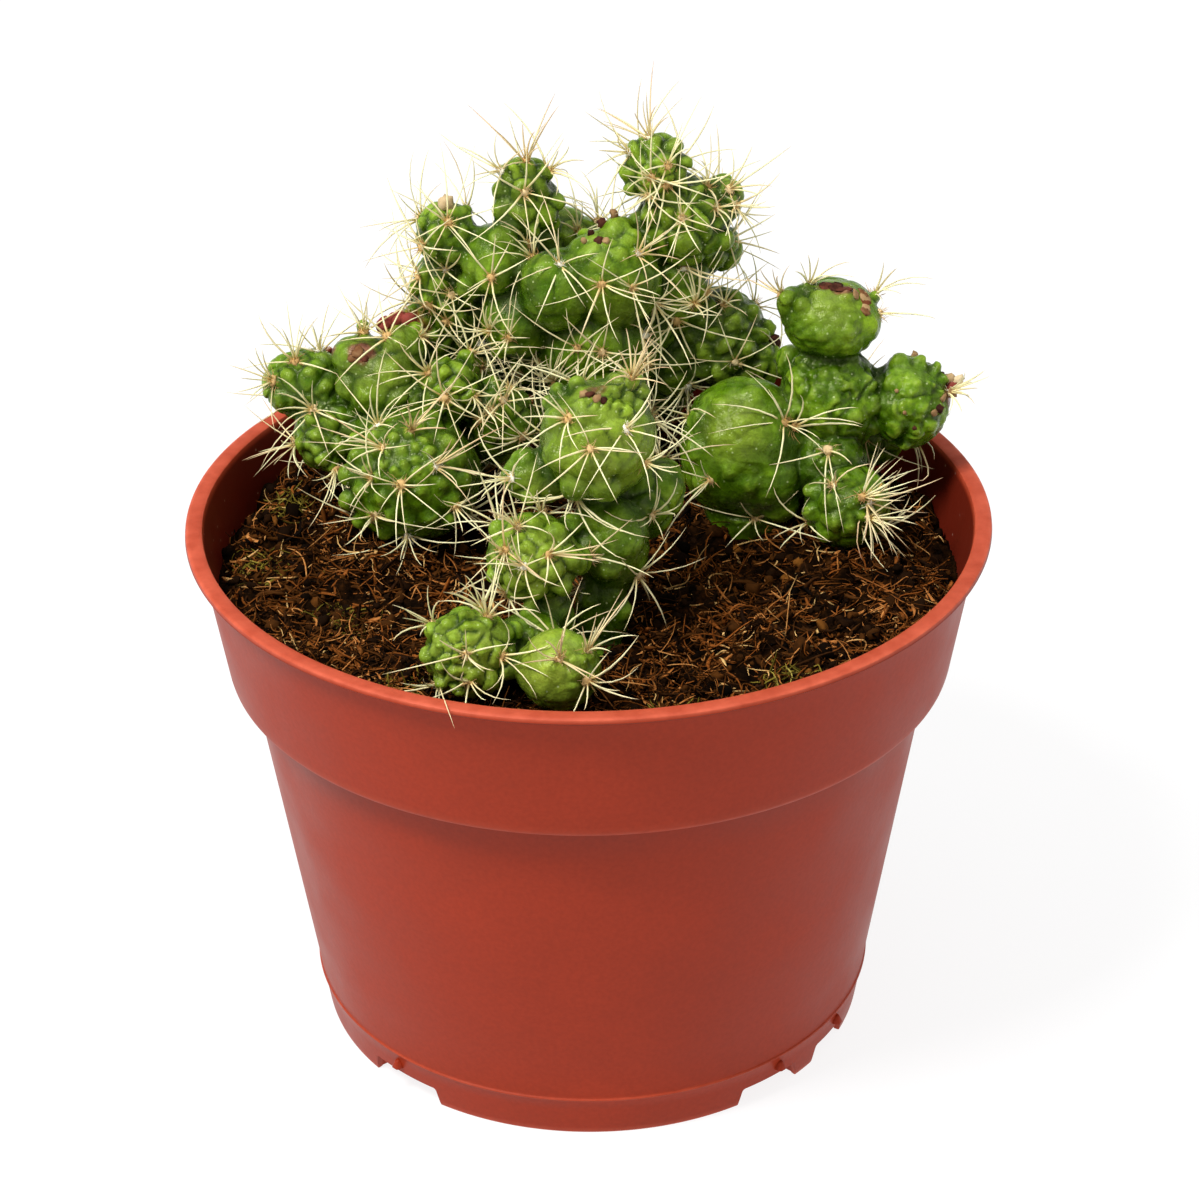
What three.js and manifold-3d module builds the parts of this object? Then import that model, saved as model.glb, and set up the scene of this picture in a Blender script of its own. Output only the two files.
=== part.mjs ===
// A monstrose powder puff cactus: lumpy spined stems in a moulded plastic nursery pot.
// Millimetres, +Z up. The origin is the centre of the circle that the pot's feet stand on.
// The pot's front is -Y.

import * as THREE from 'three';
import { mergeVertices } from 'three/addons/utils/BufferGeometryUtils.js';
import { ConvexHull } from 'three/addons/math/ConvexHull.js';
import Module from 'manifold-3d';

const wasm = await Module();
wasm.setup();

// Driving dimensions of the pot

const POT_HEIGHT = 89;
const RIM_OUTER = 63.5;
const RIM_INNER = 60.8;
const LIP_HEIGHT = 1.1;
const LIP_ROUND = 0.4;
const COLLAR_TOP = 61.6;
const COLLAR_BOTTOM = 58;
const COLLAR_EDGE_Z = 65.4;
const COLLAR_CHAMFER = 0.5;
const BODY_TOP = 54.9;
const BODY_BOTTOM = 44.9;
const WALL = 1.2;
const FLOOR_UNDER = 3.8;
const FLOOR_TOP = 5;
const RIDGE_Z = 7.5;
const RIDGE_PROUD = 0.4;
const RIDGE_HEIGHT = 0.5;
const POT_FACETS = 36;

// The feet, as turns round the pot in degrees from the front, and the same again half way round
const FOOT_GAPS = [[32, 46.5], [53.5, 65], [129, 146]];
const GAP_HEIGHT = 3.4;
const FOOT_END_WALL = 1.8;
const FOOT_END_DEPTH = 4.5;
const NUB_TURNS = [41.2, 61, 136.5];
const NUB_SIZE = 1.6;
const DRAIN_RADIUS = 3.4;
const DRAIN_CIRCLE = 36;

// The potting mix and what it leaves free round its neighbours
const SOIL_TOP = 80;
const GAP = 0.35;
const HOLE_GAP = 0.5;
const SEAT_DETAIL = 1;
const SEAT_SCALE = 1.07;
const SOIL_RINGS = [52, 43, 33, 22, 10];

// The stems
const ROOT_DEPTH = 9;
const ROOT_RISE = 3;
const ROOT_TAPER = 0.6;
const STEM_GAP = 0.6;
const AREOLE_ABOVE_SOIL = 1.5;
const SPINE_RADIUS = 0.3;
const SPINE_SINK = 1.4;
const SPINE_SPREAD = 0.75;
const SPINE_CLEAR = 0.75;
const SPINE_ABOVE_SOIL = 1.2;
const SPINE_SHORTEST = 7;
const SPINE_LONGEST = 10;
const AREOLE_SPACING = 8.1;
const CENTRAL_TILT = 0.3;
const RADIAL_TILT = 1.05;
const RADIAL_TILT_SPREAD = 0.2;
const SPINES_PER_AREOLE = 5;

// A stem is a row of swollen lobes grown into one another. Each lobe has its centre, with the
// height counted from the top of the mix, its half width and half length, the way that its
// growing tip faces, how many tubercles cover it and how far they stand out.
// A root is where the stem enters the mix: its place and its radius.
const STEMS = {
  back_stem: {
    seed: 11,
    roots: [[1, 31, 8.5], [-19.5, 32, 4.5]],
    lobes: [
      { at: [1, 31, 9], size: [10.5, 12], faces: [0, 0, 1], tubercles: 24, relief: 1.1 },
      { at: [2, 29, 24], size: [11, 12], faces: [0, -0.5, 1], tubercles: 29, relief: 1.3 },
      { at: [4.1, 25, 36.8], size: [7.8, 9.2], faces: [0, -0.5, 1], tubercles: 23, relief: 1.3 },
      { at: [-4.4, 24, 36], size: [6.8, 7.6], faces: [-0.2, -1, 0.4], tubercles: 17, relief: 1.1 },
      { at: [-11.4, 26, 30], size: [6.2, 6.8], faces: [-0.3, -1, 0.1], tubercles: 16, relief: 1.1 },
      { at: [-14.4, 28, 39.6], size: [6.3, 6.6], faces: [-0.2, -0.6, 0.7], tubercles: 16, relief: 1 },
      { at: [-9.4, 31, 47.8], size: [5.6, 5.4], faces: [0, 0, 1], tubercles: 16, relief: 0.8 },
      { at: [-9.7, 31, 52.6], size: [4.3, 2.9], faces: [0, 0, 1], tubercles: 12, relief: 1 },
      { at: [-20, 31.5, 13.5], size: [6, 12.5], faces: [-0.1, 0, 1], tubercles: 22, relief: 1.1 },
      { at: [-23.4, 31, 30.6], size: [5.3, 9.8], faces: [0, 0, 1], tubercles: 24, relief: 1.3 },
      { at: [-22.5, 30, 43.4], size: [5, 5.6], faces: [-0.2, -0.3, 1], tubercles: 17, relief: 1.4 },
      { at: [14.6, 30, 33], size: [5.8, 8], faces: [0, 0, 1], tubercles: 17, relief: 1.1 },
      { at: [15.7, 30, 45.4], size: [7.6, 7.3], faces: [0.3, -0.3, 1], tubercles: 24, relief: 1.3 },
      { at: [21.6, 31, 48.6], size: [3.8, 3.9], faces: [1, 0, 0.4], tubercles: 12, relief: 1 },
      { at: [20.2, 33, 39.4], size: [4.5, 5.3], faces: [1, 0.2, -0.3], tubercles: 13, relief: 1 },
      { at: [11.1, 30, 54.4], size: [5.3, 5.5], faces: [0, -0.2, 1], tubercles: 19, relief: 1.1 },
      { at: [13, 31, 20], size: [7, 7.5], faces: [1, 0, 0.4], tubercles: 14, relief: 1.1 },
      { at: [21.8, 32, 23.4], size: [8.4, 7.6], faces: [0.5, -0.5, 0.6], tubercles: 26, relief: 1.4 },
      { at: [-4, 38, 37], size: [6.6, 6.6], faces: [0, 1, 0.4], tubercles: 17, relief: 1.1 },
      { at: [8.5, 39, 30], size: [7, 7.6], faces: [0.2, 1, 0.2], tubercles: 19, relief: 1.1 },
      { at: [-10, 40, 18], size: [7.4, 8], faces: [-0.3, 1, 0.3], tubercles: 19, relief: 1.3 },
      { at: [11, 43, 10], size: [6.6, 7.2], faces: [0.3, 1, 0.6], tubercles: 17, relief: 1.1 },
    ],
  },
  left_stem: {
    seed: 23,
    roots: [[-29, 14, 6.5]],
    lobes: [
      { at: [-30, 19, 11.5], size: [9.4, 11.5], faces: [0, 0, 1], tubercles: 19, relief: 1 },
      { at: [-28.1, 9, 10.3], size: [10.8, 10.5], faces: [0.1, -0.6, 0.7], tubercles: 33, relief: 1.4 },
      { at: [-22.2, 16, 21.8], size: [5.4, 6], faces: [0.1, -0.5, 1], tubercles: 17, relief: 1.1 },
      { at: [-14.4, 17.5, 15.4], size: [5.9, 8.2], faces: [0.3, -0.6, 0.8], tubercles: 20, relief: 1.1 },
      { at: [-32.6, 20, 21.4], size: [7, 7.6], faces: [-0.2, -0.2, 1], tubercles: 19, relief: 0.8 },
      { at: [-36, 20, 26], size: [4.4, 4], faces: [-0.4, -0.5, 1], tubercles: 10, relief: 0.5 },
      { at: [-30, 21, 27], size: [4.2, 3.9], faces: [0.3, -0.2, 1], tubercles: 10, relief: 0.6 },
      { at: [-45, 23.5, 19.6], size: [5.9, 8], faces: [-1, 0, 0.1], tubercles: 19, relief: 1.1 },
      { at: [-41.4, 19, 13], size: [6.2, 6.6], faces: [-0.5, -0.8, -0.1], tubercles: 20, relief: 1.3 },
      { at: [-38, 28.5, 10], size: [6.6, 7.4], faces: [-0.5, 1, 0.3], tubercles: 17, relief: 1.1 },
    ],
  },
  front_stem: {
    seed: 37,
    roots: [[2, -24, 3.9], [-6.5, -31.5, 3.5]],
    lobes: [
      { at: [-2, -27.5, -2], size: [7.4, 3.6], faces: [0, 0, 1], tubercles: 12, relief: 0.5 },
      { at: [2, -24, 4.2], size: [4.2, 7], faces: [0, 0, 1], tubercles: 12, relief: 0.6 },
      { at: [3.7, -22, 14.4], size: [5.8, 8], faces: [0, 0, 1], tubercles: 16, relief: 0.8 },
      { at: [8.6, -15.5, 18.6], size: [5.2, 7.6], faces: [0.6, 0.5, 0.5], tubercles: 19, relief: 1.1 },
      { at: [1.5, -20, 31.4], size: [9, 9.4], faces: [0, -0.35, 1], tubercles: 29, relief: 1.3 },
      { at: [5.6, -18, 38.4], size: [3.4, 3.4], faces: [0.2, 0, 1], tubercles: 10, relief: 0.8 },
      { at: [-7.4, -20.5, 25.6], size: [4.4, 6], faces: [-1, -0.3, 0.2], tubercles: 13, relief: 0.8 },
      { at: [2, -13, 25], size: [6.6, 8], faces: [0, 1, 0.4], tubercles: 16, relief: 1.1 },
      { at: [-8.3, -28, 15.8], size: [7, 7], faces: [-0.1, -0.8, 0.7], tubercles: 23, relief: 1.1 },
      { at: [-5.8, -30.5, 5.6], size: [3.8, 7.4], faces: [0, 0, 1], tubercles: 10, relief: 0.6 },
      { at: [-8.8, -36.6, 5], size: [5.6, 5.2], faces: [-0.3, -1, 0.3], tubercles: 12, relief: 0.6 },
      { at: [-17.5, -42, 7.7], size: [6.8, 6.8], faces: [-0.7, -0.6, 0.4], tubercles: 24, relief: 1.3 },
      { at: [-4.4, -45.6, 6.7], size: [6.2, 6], faces: [0.2, -0.4, 0.9], tubercles: 19, relief: 0.8 },
    ],
  },
  right_stem: {
    seed: 53,
    roots: [[26, 13, 7], [41.5, 5.5, 3.6]],
    lobes: [
      { at: [25.2, 13.5, 12.2], size: [10.6, 12], faces: [-0.1, -0.2, 1], tubercles: 24, relief: 0.8 },
      { at: [37.5, 11, 11], size: [6.6, 8], faces: [0.5, -0.4, 0.2], tubercles: 13, relief: 0.6 },
      { at: [39.2, 15.5, 20], size: [8.3, 9.6], faces: [0, 0, 1], tubercles: 24, relief: 0.8 },
      { at: [38.8, 17.5, 33.5], size: [8, 6.1], faces: [0.1, -0.1, 1], tubercles: 22, relief: 0.6 },
      { at: [33, 16.5, 36.6], size: [2.8, 2.6], faces: [-0.8, -0.4, 0.6], tubercles: 10, relief: 0.5 },
      { at: [51.4, 15.5, 19.6], size: [7.8, 6.9], faces: [1, -0.1, 0.1], tubercles: 22, relief: 1 },
      { at: [41.2, 4, 7.2], size: [6.9, 7], faces: [0.8, -0.5, 0.3], tubercles: 23, relief: 1.1 },
      { at: [33, 25, 8.5], size: [7, 7.6], faces: [0, 1, 0.4], tubercles: 17, relief: 1 },
      { at: [46.5, 23.5, 10.5], size: [6, 6.4], faces: [0.7, 0.8, 0.3], tubercles: 16, relief: 1 },
    ],
  },
};

// Materials, one for each kind of surface

const potMaterial = new THREE.MeshStandardMaterial({ color: 0xa8432e, roughness: 0.5, metalness: 0 });
const soilMaterial = new THREE.MeshStandardMaterial({ color: 0x33190c, roughness: 0.95, metalness: 0 });
const stemMaterial = () =>
  new THREE.MeshStandardMaterial({ color: 0x4a8a2c, roughness: 0.45, metalness: 0 });

// Numbers that look random and are the same on every run

function seededRandom(seed) {
  let state = seed * 2654435761;
  return () => {
    state = (state + 0x6d2b79f5) | 0;
    let t = Math.imul(state ^ (state >>> 15), 1 | state);
    t = (t + Math.imul(t ^ (t >>> 7), 61 | t)) ^ t;
    return ((t ^ (t >>> 14)) >>> 0) / 4294967296;
  };
}

// From geometry to solid and back

function signedVolume(positions, index) {
  const a = new THREE.Vector3();
  const b = new THREE.Vector3();
  const c = new THREE.Vector3();
  let sum = 0;
  for (let i = 0; i < index.length; i += 3) {
    a.fromArray(positions, index[i] * 3);
    b.fromArray(positions, index[i + 1] * 3);
    c.fromArray(positions, index[i + 2] * 3);
    sum += a.dot(b.cross(c)) / 6;
  }
  return sum;
}

function toSolid(geometry) {
  const bare = geometry.clone();
  bare.deleteAttribute('normal');
  bare.deleteAttribute('uv');
  const merged = mergeVertices(bare, 1e-5);
  const positions = new Float32Array(merged.attributes.position.array);
  const index = Array.from(merged.index.array);
  const kept = [];
  for (let i = 0; i < index.length; i += 3) {
    const [a, b, c] = index.slice(i, i + 3);
    if (a !== b && b !== c && c !== a) kept.push(a, b, c);
  }
  if (signedVolume(positions, kept) < 0) {
    for (let i = 0; i < kept.length; i += 3) {
      [kept[i + 1], kept[i + 2]] = [kept[i + 2], kept[i + 1]];
    }
  }
  const mesh = new wasm.Mesh({ numProp: 3, vertProperties: positions, triVerts: new Uint32Array(kept) });
  return new wasm.Manifold(mesh);
}

function toMesh(solid, name, material) {
  const { vertProperties, triVerts } = solid.getMesh();
  const geometry = new THREE.BufferGeometry();
  geometry.setAttribute('position', new THREE.BufferAttribute(new Float32Array(vertProperties), 3));
  geometry.setIndex(new THREE.BufferAttribute(new Uint32Array(triVerts), 1));
  const mesh = new THREE.Mesh(geometry, material);
  mesh.name = name;
  return mesh;
}

function turned(profile, facets) {
  const points = profile.map(([r, z]) => new THREE.Vector2(r, z));
  const geometry = new THREE.LatheGeometry(points, facets);
  geometry.rotateX(Math.PI / 2);
  return geometry;
}

// A block bounded by two radii, two turns from the front and two heights
function ringSector(inner, outer, fromTurn, toTurn, low, high) {
  const shape = new THREE.Shape();
  const from = THREE.MathUtils.degToRad(fromTurn - 90);
  const to = THREE.MathUtils.degToRad(toTurn - 90);
  shape.moveTo(inner * Math.cos(from), inner * Math.sin(from));
  shape.lineTo(outer * Math.cos(from), outer * Math.sin(from));
  shape.lineTo(outer * Math.cos(to), outer * Math.sin(to));
  shape.lineTo(inner * Math.cos(to), inner * Math.sin(to));
  shape.closePath();
  const block = new THREE.ExtrudeGeometry(shape, { depth: high - low, bevelEnabled: false });
  block.translate(0, 0, low);
  return toSolid(block);
}

function atTurn(radius, turn, z) {
  const angle = THREE.MathUtils.degToRad(turn - 90);
  return new THREE.Vector3(radius * Math.cos(angle), radius * Math.sin(angle), z);
}

// The pot

function bodyRadius(z) {
  return BODY_BOTTOM + ((BODY_TOP - BODY_BOTTOM) * z) / COLLAR_EDGE_Z;
}

function collarRadius(z) {
  const top = POT_HEIGHT - LIP_HEIGHT;
  return COLLAR_BOTTOM + ((COLLAR_TOP - COLLAR_BOTTOM) * (z - COLLAR_EDGE_Z)) / (top - COLLAR_EDGE_Z);
}

function potProfile() {
  const lipUnder = POT_HEIGHT - LIP_HEIGHT;
  const ledge = COLLAR_EDGE_Z + WALL;
  return [
    [bodyRadius(0), 0],
    [bodyRadius(RIDGE_Z - RIDGE_HEIGHT), RIDGE_Z - RIDGE_HEIGHT],
    [bodyRadius(RIDGE_Z) + RIDGE_PROUD, RIDGE_Z],
    [bodyRadius(RIDGE_Z + RIDGE_HEIGHT), RIDGE_Z + RIDGE_HEIGHT],
    [BODY_TOP, COLLAR_EDGE_Z],
    [COLLAR_BOTTOM - COLLAR_CHAMFER, COLLAR_EDGE_Z],
    [COLLAR_BOTTOM, COLLAR_EDGE_Z + COLLAR_CHAMFER],
    [COLLAR_TOP, lipUnder],
    [RIM_OUTER - LIP_ROUND, lipUnder],
    [RIM_OUTER, lipUnder + LIP_ROUND],
    [RIM_OUTER, POT_HEIGHT - LIP_ROUND],
    [RIM_OUTER - LIP_ROUND, POT_HEIGHT],
    [RIM_INNER, POT_HEIGHT],
    [collarRadius(POT_HEIGHT - LIP_HEIGHT * 2) - WALL, POT_HEIGHT - LIP_HEIGHT * 2],
    [collarRadius(ledge) - WALL, ledge],
    [bodyRadius(ledge) - WALL, ledge],
    [bodyRadius(FLOOR_TOP) - WALL, FLOOR_TOP],
    [0, FLOOR_TOP],
    [0, FLOOR_UNDER],
    [bodyRadius(FLOOR_UNDER) - WALL, FLOOR_UNDER],
    [bodyRadius(0) - WALL, 0],
    [bodyRadius(0), 0],
  ];
}

// Both ends of every foot turn inwards, beside the gaps
function footEnds() {
  const ends = [];
  const outer = bodyRadius(0) - WALL / 2;
  for (const half of [0, 180]) {
    for (const [from, to] of FOOT_GAPS) {
      const inner = outer - FOOT_END_DEPTH;
      const top = FLOOR_UNDER + WALL / 2;
      ends.push(ringSector(inner, outer, half + from - FOOT_END_WALL, half + from, 0, top));
      ends.push(ringSector(inner, outer, half + to, half + to + FOOT_END_WALL, 0, top));
    }
  }
  return ends;
}

// The small moulding marks on the wall above the gaps
function nub(turn) {
  const mark = new THREE.TetrahedronGeometry(NUB_SIZE);
  mark.rotateZ(THREE.MathUtils.degToRad(turn));
  const place = atTurn(bodyRadius(RIDGE_Z) - WALL / 3, turn, FLOOR_TOP);
  mark.translate(place.x, place.y, place.z);
  return toSolid(mark);
}

function drainHole(turn, radius) {
  const hole = new THREE.CylinderGeometry(DRAIN_RADIUS, DRAIN_RADIUS, WALL * 3, 12);
  hole.rotateX(Math.PI / 2);
  const place = atTurn(radius, turn, (FLOOR_TOP + FLOOR_UNDER) / 2);
  hole.translate(place.x, place.y, place.z);
  return toSolid(hole);
}

function makePot() {
  let pot = toSolid(turned(potProfile(), POT_FACETS));
  for (const half of [0, 180]) {
    for (const [from, to] of FOOT_GAPS) {
      pot = pot.subtract(ringSector(RIM_INNER / 2, RIM_INNER, half + from, half + to, -WALL, GAP_HEIGHT));
      pot = pot.subtract(drainHole(half + (from + to) / 2, DRAIN_CIRCLE));
    }
    for (const turn of NUB_TURNS) pot = pot.add(nub(half + turn));
  }
  for (const end of footEnds()) pot = pot.add(end);
  pot = pot.subtract(drainHole(0, 0));
  return toMesh(pot, 'pot', potMaterial);
}

// The surface of the mix, low mounds and hollows with a rise at the back left
function soilHeight(x, y) {
  const mounds = 0.9 * Math.sin(0.19 * x + 1.3) * Math.cos(0.16 * y - 0.4);
  const clods = 0.6 * Math.sin(0.43 * x - 0.31 * y + 2) + 0.4 * Math.cos(0.71 * x + 0.52 * y);
  const rise = 1.2 * Math.exp(-((x + 42) ** 2 + (y - 26) ** 2) / 500);
  return SOIL_TOP + mounds + clods + rise;
}

function soilBody() {
  const wallTop = collarRadius(SOIL_TOP) - WALL - GAP;
  const ledge = COLLAR_EDGE_Z + WALL + GAP;
  const profile = [
    [0, FLOOR_TOP + GAP],
    [bodyRadius(FLOOR_TOP) - WALL - GAP * 2, FLOOR_TOP + GAP],
    [bodyRadius(ledge) - WALL - GAP * 2, ledge],
    [collarRadius(ledge) - WALL - GAP, ledge],
    [wallTop, SOIL_TOP],
    ...SOIL_RINGS.map((r) => [r, SOIL_TOP]),
    [0, SOIL_TOP],
  ];
  const body = turned(profile, POT_FACETS);
  const place = body.attributes.position;
  for (let i = 0; i < place.count; i += 1) {
    const x = place.getX(i);
    const y = place.getY(i);
    if (place.getZ(i) > SOIL_TOP - 1) place.setZ(i, soilHeight(x, y));
  }
  return toSolid(body);
}

// A lobe. Points spread by the golden angle are the tubercles' tips, and the corners of the
// cells round them are the creases between, so every tubercle is a low faceted cone.

function goldenPoints(count) {
  const goldenAngle = Math.PI * (3 - Math.sqrt(5));
  const points = [];
  for (let i = 0; i < count; i += 1) {
    const z = 1 - (2 * i + 1) / count;
    const r = Math.sqrt(1 - z * z);
    points.push(new THREE.Vector3(r * Math.cos(i * goldenAngle), r * Math.sin(i * goldenAngle), z));
  }
  return points;
}

function lobeFrame(lobe) {
  const [width, length] = lobe.size;
  const facing = new THREE.Vector3(...lobe.faces).normalize();
  const turn = new THREE.Quaternion().setFromUnitVectors(new THREE.Vector3(0, 0, 1), facing);
  const centre = new THREE.Vector3(lobe.at[0], lobe.at[1], SOIL_TOP + lobe.at[2]);
  const scale = new THREE.Vector3(width, width, length);
  return { turn, centre, scale, matrix: new THREE.Matrix4().compose(centre, turn, scale) };
}

function lobeSolid(lobe) {
  const [width, length] = lobe.size;
  const { matrix } = lobeFrame(lobe);
  const share = lobe.relief / (width + length);
  const tips = goldenPoints(lobe.tubercles);
  const hull = new ConvexHull().setFromPoints(tips);
  const vertices = [];
  const slots = new Map();
  const slotOf = (key, point, reach) => {
    if (!slots.has(key)) {
      slots.set(key, vertices.length / 3);
      vertices.push(...point.clone().multiplyScalar(reach).applyMatrix4(matrix).toArray());
    }
    return slots.get(key);
  };
  const index = [];
  for (const face of hull.faces) {
    let edge = face.edge;
    do {
      const tip = slotOf(edge.head().point, edge.head().point, 1 + share);
      const here = slotOf(face, face.normal, 1 - share);
      const beside = slotOf(edge.twin.face, edge.twin.face.normal, 1 - share);
      index.push(tip, here, beside);
      edge = edge.next;
    } while (edge !== face.edge);
  }
  const geometry = new THREE.BufferGeometry();
  geometry.setAttribute('position', new THREE.BufferAttribute(new Float32Array(vertices), 3));
  geometry.setIndex(index);
  return toSolid(geometry);
}

// How deep a point lies in a lobe: under 1 is inside
function depthIn(lobe, point, margin) {
  const { turn, centre, scale } = lobeFrame(lobe);
  const local = point.clone().sub(centre).applyQuaternion(turn.clone().invert());
  const grow = margin + lobe.relief / 2;
  local.divide(scale.clone().addScalar(grow));
  return local.length();
}

function clearOf(lobes, point, margin) {
  return lobes.every((lobe) => depthIn(lobe, point, margin) > 1);
}

// The areoles that carry spines, one on a tubercle's tip, spread evenly over what is exposed
function areoles(name) {
  const stem = STEMS[name];
  const random = seededRandom(stem.seed);
  const others = Object.keys(STEMS).filter((key) => key !== name).flatMap((key) => STEMS[key].lobes);
  const found = [];
  stem.lobes.forEach((lobe, which) => {
    const { turn, matrix, scale } = lobeFrame(lobe);
    const neighbours = stem.lobes.filter((other) => other !== lobe);
    goldenPoints(lobe.tubercles).forEach((tip, order) => {
      const point = tip.clone().applyMatrix4(matrix);
      const normal = tip.clone().divide(scale).normalize().applyQuaternion(turn);
      if (point.z < soilHeight(point.x, point.y) + AREOLE_ABOVE_SOIL) return;
      if (!clearOf(neighbours, point, STEM_GAP / 3)) return;
      if (!clearOf(others, point, STEM_GAP * 2)) return;
      found.push({ point, normal, rank: random() + order / lobe.tubercles, which });
    });
  });
  found.sort((a, b) => a.rank - b.rank);
  const kept = [];
  for (const areole of found) {
    if (kept.every((other) => other.point.distanceTo(areole.point) > AREOLE_SPACING)) kept.push(areole);
  }
  return kept;
}

function segmentGap(a, b) {
  const steps = 8;
  let least = Infinity;
  const line = new THREE.Line3(b.foot, b.tip);
  const point = new THREE.Vector3();
  const near = new THREE.Vector3();
  for (let i = 0; i <= steps; i += 1) {
    point.lerpVectors(a.foot, a.tip, i / steps);
    line.closestPointToPoint(point, true, near);
    least = Math.min(least, near.distanceTo(point));
  }
  return least;
}

// Where a spine may not go: the mix, the pot's wall, the other stems and the other spines
function isClear(spine, ownLobes, otherLobes, placed) {
  const point = new THREE.Vector3();
  const wall = collarRadius(SOIL_TOP) - WALL - SPINE_CLEAR;
  for (const t of [0.35, 0.5, 0.65, 0.8, 0.9, 1]) {
    point.lerpVectors(spine.foot, spine.tip, t);
    const radius = Math.hypot(point.x, point.y);
    if (point.z < soilHeight(point.x, point.y) + SPINE_ABOVE_SOIL) return false;
    if (point.z < POT_HEIGHT + SPINE_CLEAR && radius > wall) return false;
    if (radius > RIM_OUTER + SPINE_CLEAR) return false;
    if (!clearOf(otherLobes, point, STEM_GAP)) return false;
    if (t > 0.6 && !clearOf(ownLobes, point, STEM_GAP)) return false;
  }
  return placed.every((other) => other.areole === spine.areole || segmentGap(spine, other) > SPINE_CLEAR);
}

function spineLine(areole, tilt, around, length) {
  const side = new THREE.Vector3(0, 0, 1).cross(areole.normal);
  if (side.length() < 0.1) side.set(1, 0, 0);
  side.normalize();
  side.applyAxisAngle(areole.normal, around);
  const aim = areole.normal.clone().multiplyScalar(Math.cos(tilt)).addScaledVector(side, Math.sin(tilt));
  const foot = areole.point.clone().addScaledVector(areole.normal, -SPINE_SINK);
  foot.addScaledVector(side, tilt > CENTRAL_TILT ? SPINE_SPREAD : 0);
  const tip = foot.clone().addScaledVector(aim, length + SPINE_SINK);
  return { foot, tip, areole };
}

// Round each areole, one spine stands out and the others spread; one that would touch
// something is turned a little, then shortened, then left out
function spinesOf(name, placed) {
  const stem = STEMS[name];
  const random = seededRandom(stem.seed + 1);
  const others = Object.keys(STEMS).filter((key) => key !== name).flatMap((key) => STEMS[key].lobes);
  const own = [];
  for (const areole of areoles(name)) {
    const neighbours = stem.lobes.filter((lobe, which) => which !== areole.which);
    const start = random() * Math.PI * 2;
    for (let i = 0; i < SPINES_PER_AREOLE; i += 1) {
      const radial = i > 0;
      const turn = start + (i * Math.PI * 2) / (SPINES_PER_AREOLE - 1);
      const spread = RADIAL_TILT + RADIAL_TILT_SPREAD * (random() - 0.5);
      const tilt = radial ? spread : CENTRAL_TILT * random();
      const length = SPINE_SHORTEST + (SPINE_LONGEST - SPINE_SHORTEST) * random();
      for (const [nudge, part] of [[0, 1], [0.3, 1], [-0.3, 0.85], [0, 0.7]]) {
        const spine = spineLine(areole, tilt, turn + nudge, length * part);
        if (isClear(spine, neighbours, others, placed)) {
          own.push(spine);
          placed.push(spine);
          break;
        }
      }
    }
  }
  return own;
}

function spineSolid(spine) {
  const length = spine.foot.distanceTo(spine.tip);
  const cone = new THREE.ConeGeometry(SPINE_RADIUS, length, 3, 1);
  cone.translate(0, length / 2, 0);
  const aim = spine.tip.clone().sub(spine.foot).normalize();
  cone.applyQuaternion(new THREE.Quaternion().setFromUnitVectors(new THREE.Vector3(0, 1, 0), aim));
  cone.translate(spine.foot.x, spine.foot.y, spine.foot.z);
  return toSolid(cone);
}

// The part of a stem that stands in the mix, and the plain hole that it stands in
function rootPlug([x, y, radius], gap) {
  const low = SOIL_TOP - ROOT_DEPTH - gap;
  const height = ROOT_RISE + gap * 2 + ROOT_DEPTH;
  const plug = new THREE.CylinderGeometry(radius + gap, radius * ROOT_TAPER + gap, height, 12);
  plug.rotateX(Math.PI / 2);
  plug.translate(x, y, low + height / 2);
  return toSolid(plug);
}

function makeStem(name, placed) {
  const stem = STEMS[name];
  let solid = lobeSolid(stem.lobes[0]);
  for (const lobe of stem.lobes.slice(1)) solid = solid.add(lobeSolid(lobe));
  for (const root of stem.roots) solid = solid.add(rootPlug(root, 0));
  for (const spine of spinesOf(name, placed)) solid = solid.add(spineSolid(spine));
  return toMesh(solid, name, stemMaterial());
}

// The plain hollow that a low lobe lies in
function lobeSeat(lobe) {
  const seat = new THREE.IcosahedronGeometry(1, SEAT_DETAIL);
  const { turn, centre, scale } = lobeFrame(lobe);
  scale.multiplyScalar(SEAT_SCALE).addScalar(lobe.relief / 2 + HOLE_GAP);
  seat.applyMatrix4(new THREE.Matrix4().compose(centre, turn, scale));
  return toSolid(seat);
}

function makeSoil() {
  let soil = soilBody();
  for (const stem of Object.values(STEMS)) {
    for (const root of stem.roots) soil = soil.subtract(rootPlug(root, HOLE_GAP));
    for (const lobe of stem.lobes) {
      const reach = Math.max(...lobe.size) + lobe.relief;
      if (lobe.at[2] - reach < 3) soil = soil.subtract(lobeSeat(lobe));
    }
  }
  return toMesh(soil, 'potting_mix', soilMaterial);
}

const cactus = new THREE.Group();
cactus.add(makePot());
cactus.add(makeSoil());
const placedSpines = [];
for (const name of Object.keys(STEMS)) cactus.add(makeStem(name, placedSpines));

export default cactus;
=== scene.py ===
# %% [markdown]
# # A monstrose powder puff cactus in a nursery pot
# This lesson dresses the plain solids of a potted cactus. The solids give every size and place;
# here each one is replaced by a finer piece that keeps its form, and small things that solids
# leave out are added: curved spines, areole wool, coir shreds and a little moss.
# We work in millimetres, because the sizes of the real thing are easy to judge that way, and
# each finished piece is brought to metres in one last step.

import math
import bpy
import numpy as np
from mathutils import Matrix, Vector


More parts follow.
